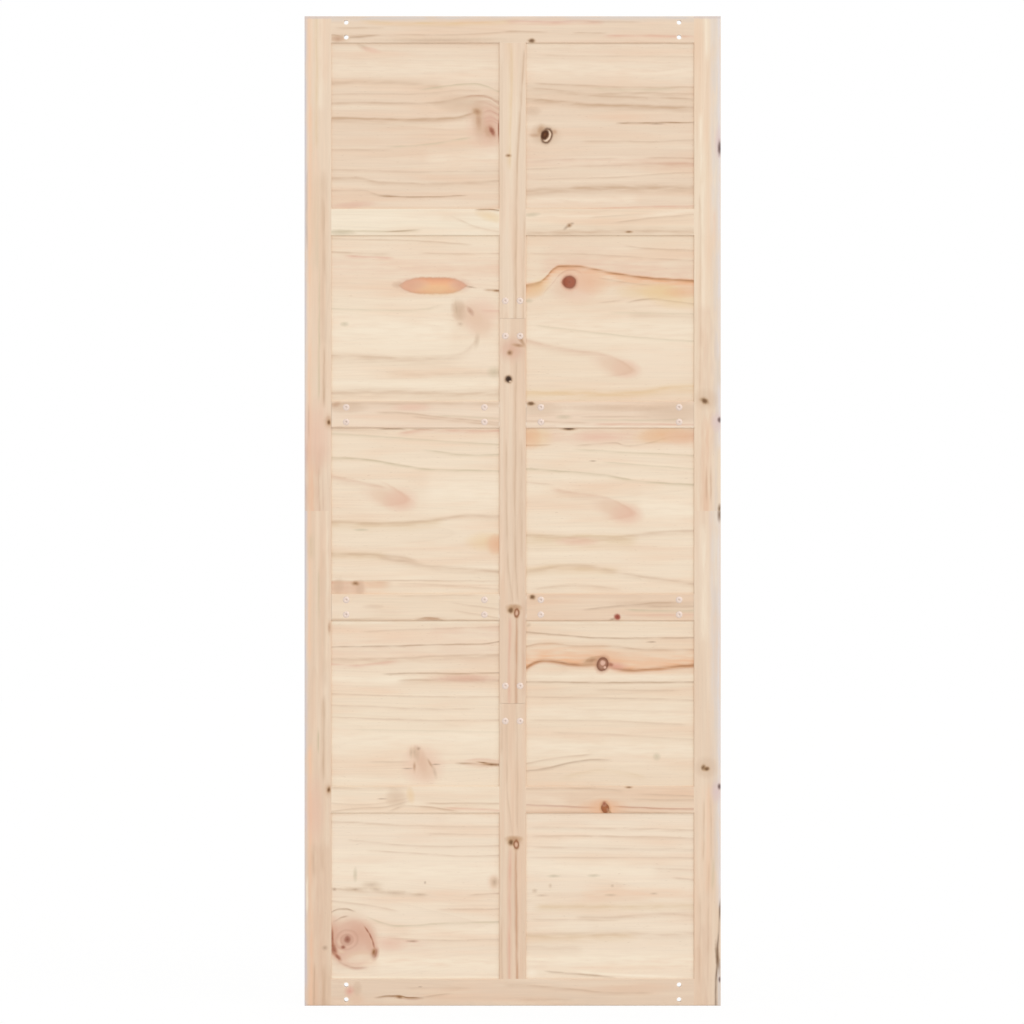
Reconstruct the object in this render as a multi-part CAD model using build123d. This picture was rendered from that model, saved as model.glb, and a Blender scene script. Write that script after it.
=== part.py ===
from build123d import *
import os

# Sliding barn door leaf in pine: a grooved frame that holds two columns of flat panels.
# Own frame: the door's front faces -Y, +X is to the right of someone facing it, +Z is up.
# The origin lies on the front face of the top rail, midway between its two pairs of hanger holes.

# Driving dimensions, in millimetres

door_width = 900.0
door_height = 2140.0
door_thickness = 18.0
stile_width = 58.0              # upright at each side
rail_height = 58.0              # every cross rail, the top and bottom ones too
muntin_width = 58.0             # upright in the middle
row_count = 5                   # rows of panels, from top to bottom

panel_recess = 4.0              # from the frame's face back to the panel's face
panel_face_fit = 0.2            # room beside a panel or a tenon in its groove, each side
panel_edge_room = 1.0           # room between a panel's edge and its groove's floor
groove_depth = 7.0
tenon_end_room = 0.3            # room between a tenon's end and its groove's floor

outer_arris = 1.5               # bevel round the door's own outline
inner_arris = 1.5               # bevel round each panel opening

finger_count = 4                # fingers across the thickness, where a stile is joined end to end
finger_length = 10.0
finger_tip = 0.6                # flat at each finger's tip and root

hanger_hole_diameter = 10.0
hanger_hole_pitch = 32.0        # between the two holes of a pair, one above the other
hanger_hole_from_side = 90.0    # from the door's side to a pair

dry_joint_gap = 0.3             # between pieces that are bolted together, not glued
tongue_thickness = 6.0
tongue_fit = 0.1                # room beside a loose tongue in its mortise, each side
tongue_end_room = 1.0
tongue_in_stile = 26.0          # from the stile's inner edge to the tongue's end
connector_hole_diameter = 8.0
connector_margin = 6.0          # from a groove's floor to a connector's axis
connector_from_end = 32.0       # along a rail, from the edge that it meets to its connectors
connector_from_seam = 38.0      # along the muntin, from its seam to its connectors
tongue_past_connector = 16.0    # from the last connector to the tongue's end

# Sizes that follow from them

half_width = door_width / 2
stile_edge = half_width - stile_width           # inner edge of a stile
muntin_edge = muntin_width / 2
opening_height = (door_height - (row_count + 1) * rail_height) / row_count
row_step = opening_height + rail_height

middle_y = door_thickness / 2
panel_thickness = door_thickness - 2 * panel_recess
groove_width = panel_thickness + 2 * panel_face_fit
tenon_length = groove_depth - tenon_end_room
panel_insert = groove_depth - panel_edge_room

top_z = rail_height / 2
bottom_z = top_z - door_height
stile_seam_z = (top_z + bottom_z) / 2

muntin_core = muntin_width / 2 - groove_depth   # half of what its two grooves leave of it
rail_connector_offset = rail_height / 2 - groove_depth - connector_margin
muntin_connector_offset = muntin_core - connector_margin
mortise_thickness = tongue_thickness + 2 * tongue_fit
tongue_in_rail = connector_from_end + tongue_past_connector
tongue_in_muntin = connector_from_seam + tongue_past_connector

upper_seam_row = 1                              # the muntin's seams cross the middle of these rows,
lower_seam_row = row_count - 2                  # counted from 0
bolted_rails = range(2, row_count - 1)          # the first and the last cross rail are glued
over = 1.0                                      # how far a cutter runs past the face that it cuts


def rail_z(number):
    """Height of a rail's middle, from 0 for the top rail to row_count for the bottom one."""
    return -number * row_step


def rail_span(number):
    return (rail_z(number) - rail_height / 2, rail_z(number) + rail_height / 2)


def opening_span(row):
    """Height of the openings in a row, from their lower to their upper edge."""
    return (rail_span(row + 1)[1], rail_span(row)[0])


def row_middle(row):
    return sum(opening_span(row)) / 2


def layer(thickness):
    """Span in Y of what lies in the middle of the door's thickness."""
    return (middle_y - thickness / 2, middle_y + thickness / 2)


def block(x_span, y_span, z_span):
    """Plain block between two values along each axis, given in either order."""
    spans = (x_span, y_span, z_span)
    corner = [min(span) for span in spans]
    size = [abs(span[1] - span[0]) for span in spans]
    return Pos(*corner) * Box(*size, align=(Align.MIN, Align.MIN, Align.MIN))


def cross_hole(x, z, diameter):
    """Round cutter through the whole thickness."""
    return Pos(x, middle_y, z) * Rot(90, 0, 0) * Cylinder(diameter / 2, door_thickness + 2 * over)


# The frame's outline: one slab with its openings, bevelled round every edge of both faces

def face_pair(solid):
    flat_faces = solid.faces().filter_by(Axis.Y).sort_by(Axis.Y)
    return (flat_faces[0], flat_faces[-1])


def eased_slab():
    slab = block((-half_width, half_width), (0, door_thickness), (bottom_z, top_z))
    for row in range(row_count):
        for side in (-1, 1):
            span_x = (side * muntin_edge, side * stile_edge)
            slab -= block(span_x, (-over, door_thickness + over), opening_span(row))
    outline = [edge for face in face_pair(slab) for edge in face.outer_wire().edges()]
    slab = chamfer(outline, outer_arris)
    openings = [edge for face in face_pair(slab) for wire in face.inner_wires() for edge in wire.edges()]
    return chamfer(openings, inner_arris)


frame_slab = eased_slab()


def member(x_span, z_span):
    """Piece of the frame between two values of X and of Z."""
    return frame_slab & block(x_span, (0, door_thickness), z_span)


def groove_along_rail(x_span, edge_z, inward):
    """Panel groove in a horizontal edge; inward is the way from the edge into the wood."""
    return block(x_span, layer(groove_width), (edge_z, edge_z + inward * groove_depth))


def groove_along_upright(z_span, edge_x, inward):
    """Panel groove in the edge of a stile or of the muntin."""
    return block((edge_x, edge_x + inward * groove_depth), layer(groove_width), z_span)


# Dry joints: a loose tongue in two mortises. It is as wide as its connectors are apart, so each connector
# runs half through wood and half through a round notch in the tongue's edge, and locks it.

def rail_mortise(number, x_span):
    """Cutter for a mortise in line with a bolted rail."""
    half_height = rail_connector_offset + tongue_fit
    z_span = (rail_z(number) - half_height, rail_z(number) + half_height)
    return block(x_span, layer(mortise_thickness), z_span)


def rail_connector_holes(number, joint_x, into_rail):
    """Cutters for the two connectors at one end of a bolted rail."""
    x = joint_x + into_rail * connector_from_end
    upper = cross_hole(x, rail_z(number) + rail_connector_offset, connector_hole_diameter)
    return upper + cross_hole(x, rail_z(number) - rail_connector_offset, connector_hole_diameter)


def seam_mortise(seam_z, away):
    """Cutter for the mortise in a muntin's sawn end; away is the way from the seam into the wood."""
    half_width_x = muntin_connector_offset + tongue_fit
    z_span = (seam_z, seam_z + away * (tongue_in_muntin + tongue_end_room))
    return block((-half_width_x, half_width_x), layer(mortise_thickness), z_span)


def seam_connector_holes(seam_z, away):
    """Cutters for the two connectors on one side of a seam."""
    z = seam_z + away * connector_from_seam
    left = cross_hole(-muntin_connector_offset, z, connector_hole_diameter)
    return left + cross_hole(muntin_connector_offset, z, connector_hole_diameter)


# Stiles, each made of two lengths that fingers join at half the door's height

def space_below_fingers():
    """Everything under the zigzag of the finger joint, across the whole door."""
    pitch = door_thickness / finger_count
    flat = finger_tip / 2
    root_z = stile_seam_z
    tip_z = stile_seam_z + finger_length
    line = [(-over, bottom_z - over), (-over, root_z)]
    for finger in range(finger_count):
        root_y = finger * pitch
        tip_y = root_y + pitch / 2
        line += [(root_y + flat, root_z), (tip_y - flat, tip_z), (tip_y + flat, tip_z)]
        line += [(root_y + pitch - flat, root_z)]
    line += [(door_thickness + over, root_z), (door_thickness + over, bottom_z - over)]
    profile = make_face(Plane.YZ * Polyline(*line, close=True))
    return extrude(profile, amount=half_width + over, both=True)


def right_stile():
    stile = member((stile_edge, half_width), (bottom_z, top_z))
    stile -= groove_along_upright((bottom_z - over, top_z + over), stile_edge, 1)
    for number in bolted_rails:
        stile -= rail_mortise(number, (stile_edge, stile_edge + tongue_in_stile + tongue_end_room))
    return stile


def stile_parts():
    below = space_below_fingers()
    stile = right_stile()
    upper = stile - below
    lower = stile & below
    return {
        "left_stile_upper": mirror(upper, about=Plane.YZ),
        "left_stile_lower": mirror(lower, about=Plane.YZ),
        "right_stile_upper": upper,
        "right_stile_lower": lower,
    }


# Top and bottom rails, from stile to stile, with a pair of through holes near each end

def end_rail(number, inward):
    """Rail 0 at the top or the last one at the bottom; inward is the way from it to the panels."""
    span = rail_span(number)
    inner_edge = rail_z(number) + inward * rail_height / 2
    reach = stile_edge + tenon_length
    rail = member((-stile_edge, stile_edge), span)
    rail += block((-reach, reach), layer(panel_thickness), span)
    rail -= groove_along_rail((-reach - over, reach + over), inner_edge, -inward)
    hole_x = half_width - hanger_hole_from_side
    for x in (-hole_x, hole_x):
        for z_offset in (-hanger_hole_pitch / 2, hanger_hole_pitch / 2):
            rail -= cross_hole(x, rail_z(number) + z_offset, hanger_hole_diameter)
    return rail


# Cross rails between a stile and the muntin; each is modelled on the right and mirrored

def rail_grooves(x_span, number):
    lower_edge, upper_edge = rail_span(number)
    return groove_along_rail(x_span, lower_edge, 1) + groove_along_rail(x_span, upper_edge, -1)


def glued_rail(number):
    """Rail held by a stub tenon at each end."""
    tenons = (muntin_edge - tenon_length, stile_edge + tenon_length)
    rail = member((muntin_edge, stile_edge), rail_span(number))
    rail += block(tenons, layer(panel_thickness), rail_span(number))
    return rail - rail_grooves((tenons[0] - over, tenons[1] + over), number)


def bolted_rail(number):
    """Rail with a mortise and two connector holes at each end."""
    rail = member((muntin_edge + dry_joint_gap, stile_edge - dry_joint_gap), rail_span(number))
    rail -= rail_grooves((muntin_edge, stile_edge), number)
    reach = tongue_in_rail + tongue_end_room
    for joint_x, into_rail in ((muntin_edge, 1), (stile_edge, -1)):
        rail -= rail_mortise(number, (joint_x, joint_x + into_rail * reach))
        rail -= rail_connector_holes(number, joint_x, into_rail)
    return rail


def rail_parts():
    parts = {"top_rail": end_rail(0, -1), "bottom_rail": end_rail(row_count, 1)}
    for number in range(1, row_count):
        rail = bolted_rail(number) if number in bolted_rails else glued_rail(number)
        parts[f"rail_{number}_left"] = mirror(rail, about=Plane.YZ)
        parts[f"rail_{number}_right"] = rail
    return parts


# Muntin, in three lengths that meet at the middle of two rows of panels

def grooved_muntin(z_span):
    piece = member((-muntin_edge, muntin_edge), z_span)
    for side in (-1, 1):
        piece -= groove_along_upright((z_span[0] - over, z_span[1] + over), side * muntin_edge, -side)
    return piece


def muntin_tenon(edge_z, outward):
    """Tenon at the muntin's end, in the groove of the top or the bottom rail."""
    tenon_z = (edge_z, edge_z + outward * tenon_length)
    return block((-muntin_core, muntin_core), layer(panel_thickness), tenon_z)


def muntin_parts():
    top_edge = opening_span(0)[1]
    bottom_edge = opening_span(row_count - 1)[0]
    upper_seam = row_middle(upper_seam_row)
    lower_seam = row_middle(lower_seam_row)
    half_gap = dry_joint_gap / 2

    upper = grooved_muntin((upper_seam + half_gap, top_edge)) + muntin_tenon(top_edge, 1)
    upper -= seam_mortise(upper_seam, 1)
    upper -= seam_connector_holes(upper_seam, 1)

    lower = grooved_muntin((bottom_edge, lower_seam - half_gap)) + muntin_tenon(bottom_edge, -1)
    lower -= seam_mortise(lower_seam, -1)
    lower -= seam_connector_holes(lower_seam, -1)

    middle = grooved_muntin((lower_seam + half_gap, upper_seam - half_gap))
    for seam_z, away in ((upper_seam, -1), (lower_seam, 1)):
        middle -= seam_mortise(seam_z, away)
        middle -= seam_connector_holes(seam_z, away)
    for number in bolted_rails:
        middle -= rail_mortise(number, (-muntin_edge, muntin_edge))
    return {"muntin_upper": upper, "muntin_middle": middle, "muntin_lower": lower}


# Loose tongues: one across each seam of the muntin, three in line with each bolted rail

def rail_tongue(number, x_span):
    z_span = (rail_z(number) - rail_connector_offset, rail_z(number) + rail_connector_offset)
    return block(x_span, layer(tongue_thickness), z_span)


def side_tongue(number):
    """Tongue between the right stile and its rail."""
    tongue = rail_tongue(number, (stile_edge - tongue_in_rail, stile_edge + tongue_in_stile))
    return tongue - rail_connector_holes(number, stile_edge, -1)


def centre_tongue(number):
    """Tongue that runs through the muntin, from the left rail into the right one."""
    reach = muntin_edge + tongue_in_rail
    tongue = rail_tongue(number, (-reach, reach))
    tongue -= rail_connector_holes(number, -muntin_edge, -1)
    return tongue - rail_connector_holes(number, muntin_edge, 1)


def seam_tongue(row):
    """Tongue across the muntin's seam in one row of panels."""
    seam_z = row_middle(row)
    x_span = (-muntin_connector_offset, muntin_connector_offset)
    tongue = block(x_span, layer(tongue_thickness), (seam_z - tongue_in_muntin, seam_z + tongue_in_muntin))
    return tongue - seam_connector_holes(seam_z, 1) - seam_connector_holes(seam_z, -1)


def tongue_parts():
    parts = {
        "muntin_tongue_upper": seam_tongue(upper_seam_row),
        "muntin_tongue_lower": seam_tongue(lower_seam_row),
    }
    for number in bolted_rails:
        tongue = side_tongue(number)
        parts[f"rail_{number}_left_tongue"] = mirror(tongue, about=Plane.YZ)
        parts[f"rail_{number}_centre_tongue"] = centre_tongue(number)
        parts[f"rail_{number}_right_tongue"] = tongue
    return parts


# Flat panels, which lie loose in the grooves on all four sides

def panel(row, side):
    low_z, high_z = opening_span(row)
    x_span = (side * (muntin_edge - panel_insert), side * (stile_edge + panel_insert))
    return block(x_span, layer(panel_thickness), (low_z - panel_insert, high_z + panel_insert))


def panel_parts():
    parts = {}
    for row in range(row_count):
        parts[f"panel_{row + 1}_left"] = panel(row, -1)
        parts[f"panel_{row + 1}_right"] = panel(row, 1)
    return parts


os.makedirs("parts", exist_ok=True)
door = {**stile_parts(), **rail_parts(), **muntin_parts(), **tongue_parts(), **panel_parts()}
for name, shape in door.items():
    export_step(shape, f"parts/{name}.step")
print(len(door), "pieces,", door_width, "x", door_height, "x", door_thickness, "mm")
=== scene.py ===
from functools import partial
from math import cos, pi, radians, sin

import bmesh
import bpy
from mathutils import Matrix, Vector


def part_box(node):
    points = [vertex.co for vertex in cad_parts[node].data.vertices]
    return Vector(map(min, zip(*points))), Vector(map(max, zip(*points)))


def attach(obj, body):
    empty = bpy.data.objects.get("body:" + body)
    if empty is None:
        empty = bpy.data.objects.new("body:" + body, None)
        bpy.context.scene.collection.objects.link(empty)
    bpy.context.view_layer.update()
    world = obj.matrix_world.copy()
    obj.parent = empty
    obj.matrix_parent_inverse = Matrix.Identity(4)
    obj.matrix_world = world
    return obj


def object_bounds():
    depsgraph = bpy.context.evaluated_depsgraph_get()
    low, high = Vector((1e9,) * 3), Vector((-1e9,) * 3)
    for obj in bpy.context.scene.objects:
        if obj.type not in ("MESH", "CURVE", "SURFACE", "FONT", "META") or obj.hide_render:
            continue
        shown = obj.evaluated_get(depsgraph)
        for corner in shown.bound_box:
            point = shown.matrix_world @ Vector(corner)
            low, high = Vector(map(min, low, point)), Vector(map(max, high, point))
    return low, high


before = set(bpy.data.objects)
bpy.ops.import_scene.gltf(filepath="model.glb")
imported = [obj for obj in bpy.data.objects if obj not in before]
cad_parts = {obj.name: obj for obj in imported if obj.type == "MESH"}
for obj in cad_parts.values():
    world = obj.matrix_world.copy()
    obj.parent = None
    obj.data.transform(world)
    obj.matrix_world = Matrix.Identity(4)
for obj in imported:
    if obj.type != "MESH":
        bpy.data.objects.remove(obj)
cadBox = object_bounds()
print("frame loaded,", len(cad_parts), "pieces of wood")


def hexToLinear(code):
    shares = [int(code[place:place + 2], 16) / 255 for place in (1, 3, 5)]
    return (*(share / 12.92 if share <= 0.04045 else ((share + 0.055) / 1.055) ** 2.4 for share in shares), 1)


# adds one node: settings first, then values or links, by a socket's number or its name
# points are for a curve and stops for a colour ramp, each stop a place, a hex colour and an alpha
def addNode(tree, kind, inputs=(), points=(), stops=(), **settings):
    node = tree.nodes.new("ShaderNode" + kind)
    for name, value in settings.items():
        setattr(node, name, value)
    if points:
        node.mapping.use_clip = False
        node.mapping.extend = "HORIZONTAL"
        curve = node.mapping.curves[0]
        for number, (x, y) in enumerate(points):
            point = curve.points[number] if number < 2 else curve.points.new(x, y)
            point.location = (x, y)
            point.handle_type = "AUTO_CLAMPED"
        node.mapping.update()
    for number, (place, code, alpha) in enumerate(stops):
        ramp = node.color_ramp
        stop = ramp.elements[number] if number < 2 else ramp.elements.new(place)
        stop.position = place
        stop.color = (*hexToLinear(code)[:3], alpha)
    for key, value in dict(inputs).items():
        if isinstance(key, int):
            socket = node.inputs[key]
        else:
            socket = next(item for item in node.inputs if item.name == key and item.enabled)
        if isinstance(value, bpy.types.Node):
            value = next(item for item in value.outputs if item.enabled)
        if isinstance(value, bpy.types.NodeSocket):
            tree.links.new(value, socket)
        else:
            socket.default_value = value
    return node


# empties the node tree of a new material or world, and gives back the function that fills it
def nodesOf(owner):
    owner.use_nodes = True
    owner.node_tree.nodes.clear()
    return partial(addNode, owner.node_tree)


# planed and sanded pine, left bare: pale, dry and silky, with soft broad grain and a few live knots
pine = {
    "tones": {
        "cream": "#F2E3CC", "milk": "#F1DFC9", "pale": "#F0DDC5", "straw": "#EDD8BF",
        "flax": "#EBD4BD", "tan": "#E9D2BA", "rosy": "#E8CDB3", "sand": "#E6CFB8", "deep": "#E5CBB2",
    },
    # a colour, the value from which it shows, the value from which it shows in full, and its strength
    "flush": ("#E9C0A0", 0.46, 0.74, 0.4),       # the pinkish streaks that run through every board
    "bleached": ("#F7E9D3", 0.5, 0.74, 0.3),     # and the pale ones
    "resinDash": ("#A67B57", 0.79, 0.87, 0.22),
    "endGrain": ("#D9B48C", 0.6, 0.95, 0.6),     # sawn ends drink more light
    "latewood": "#CBA889",
    "ringStrength": 0.13,
    "ringGap": {"panel": 2.6, "frame": 2.2},     # mm from year to year
    "season": [(0, "#000000", 1), (1, "#000000", 1), (0.5, "#2A2A2A", 1), (0.86, "#D0D0D0", 1),
               (0.93, "#FFFFFF", 1)],
    "taper": 0.012,              # mm in radius for each mm along the log
    "swell": (14, 5),            # mm in radius over which years grow wider or closer, and by how many years
    "lean": 0.5,                 # mm that the fibres lean for each mm of depth, so the back is no copy
    "wander": 5,                 # mm that they drift
    "fibreTone": 0.07, "streakTone": 0.11, "darkest": 0.91,
    "fibreRange": (0.3, 0.7),    # values of the fibres between which the roughness goes
    "roughness": (0.55, 0.68),
    "ior": 1.5,
    "specular": 0.3,             # bare fibres scatter most of the shine
    "bump": 0.25,
    "relief": 0.0002,            # m
    "ringRelief": 0.6,
    "seedStep": (7.3, 3.1),      # how far apart the boards lie in the noises
}

# noises: mm along the grain, through the board and across the grain, then shift, detail and roughness
# a real fibre is 0.03 mm wide, so fibres are drawn as bundles of 1.6 mm that show
noises = {
    "flush": ((260, 40, 34), 3, 2, 0.5),
    "bleached": ((320, 30, 16), 5, 2, 0.5),
    "drift": ((150, 60, 50), 11, 1, 0.5),
    "streaks": ((170, 7, 5), 13, 3, 0.6),
    "fibres": ((60, 1.6, 1.6), 17, 2, 0.6),
    "dashes": ((10, 1.1, 1.1), 23, 0, 0.5),
    "fading": ((48, 30, 7), 29, 1, 0.5),
    "shake": ((26, 12, 12), 31, 1, 0.5),
    "rim": ((9, 9, 9), 37, 2, 0.5),
}

# single lines, mostly grain and a few painted highlights and painted shade: sharp on one side, soft on the
# other, stronger and weaker along their length
grainAndLightLines = {
    # across it: a share of the row's softness, mm more, and the strength there
    "profile": [(-1.35, -1.4, 0), (-0.55, -0.4, 0.5), (0, 0.2, 1), (0.6, 0.6, 0.48), (1.35, 1.6, 0)],
    "sharpSide": 0.3,            # share of the softness above the line, where the row gives one number
    "fade": 22,                  # mm from an end to the full strength
    "tail": 6,                   # mm from an end to nothing
    "nearEdge": 12,              # a line that ends this near the board's edge, in mm, runs on past it:
    "runOn": (60, 90),           # in full, and to nothing
    "fading": (0.3, 0.62, 0.45, 1.15),      # values of its noise, and the strengths that they give
    "shake": 1.8,                # mm
}
lineTones = {
    "late": "#CFB093", "moss": "#D0BE9F", "dark": "#A0764F", "pink": "#E0B49C", "amber": "#EBB68D",
    "resin": "#B0805A", "honey": "#E4C59B", "wane": "#6E5444", "rose": "#B87C64", "straw": "#DEC29B",
    "umber": "#CFA083", "pale": "#F8EAD4", "flesh": "#F0C8A8", "lilac": "#DBD0C7", "mist": "#D6CECF",
    "haze": "#E4DCD9", "burnt": "#D08C5E",
}


# draws one line over the colour (most are grain, a few are painted highlights and painted shade); linesAt is
# the place across the grain, and fading its strength
def lineOver(add, colour, row, along, linesAt, fading, upright, halfLength):
    tone, strength, soft, *points = row
    path = sorted((up, right) if upright else (right, up) for right, up in points)
    centreLine = add("FloatCurve", {"Value": along}, points=path)
    offset = add("Math", {0: centreLine, 1: linesAt}, operation="SUBTRACT")
    above, below = soft if isinstance(soft, tuple) else (soft * grainAndLightLines["sharpSide"], soft)
    profile = [(share * (above if share < 0 else below) + mm, shade)
               for share, mm, shade in grainAndLightLines["profile"]]
    profile = add("FloatCurve", {"Value": offset}, points=profile)
    start, end = path[0][0], path[-1][0]
    fade = min(grainAndLightLines["fade"], (end - start) / 3)
    tail, nearEdge = grainAndLightLines["tail"], grainAndLightLines["nearEdge"]
    inFull, toNothing = grainAndLightLines["runOn"]
    ends = [(start - tail, 0), (start + fade, strength), (end - fade, strength), (end + tail, 0)]
    if start < nearEdge - halfLength:
        ends[:2] = [(start - toNothing, 0), (start - inFull, strength)]
    if end > halfLength - nearEdge:
        ends[2:] = [(end + inFull, strength), (end + toNothing, 0)]
    lengthwise = add("FloatCurve", {"Value": along}, points=ends)
    share = add("Math", {0: profile, 1: lengthwise}, operation="MULTIPLY")
    share = add("Math", {0: share, 1: fading}, operation="MULTIPLY", use_clamp=True)
    return add("Mix", {0: share, 6: colour, 7: hexToLinear(lineTones[tone])}, data_type="RGBA").outputs[2]


# knots and patches; the grain bends round those that have a bend
knotDrawing = {
    "shapes": {"amber": "lens", "tongue": "tongue"},       # the others are round or oval
    "lensPower": 3.8, "tonguePower": 1.6, "tongueFade": (-2.0, -0.3),
    "rimShake": 0.5, "rimSize": 7,                         # larger knots, in mm, have a calmer rim
    "reach": 1.5,                                          # in half sizes, where a look ends
    "pull": 0.8, "pullFrom": 0.6, "pullTo": 3, "pullAcross": 1.2, "pullAlong": 2,
    "throughBoard": 1e4,                                   # mm, so that a knot is the same at any depth
}
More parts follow.
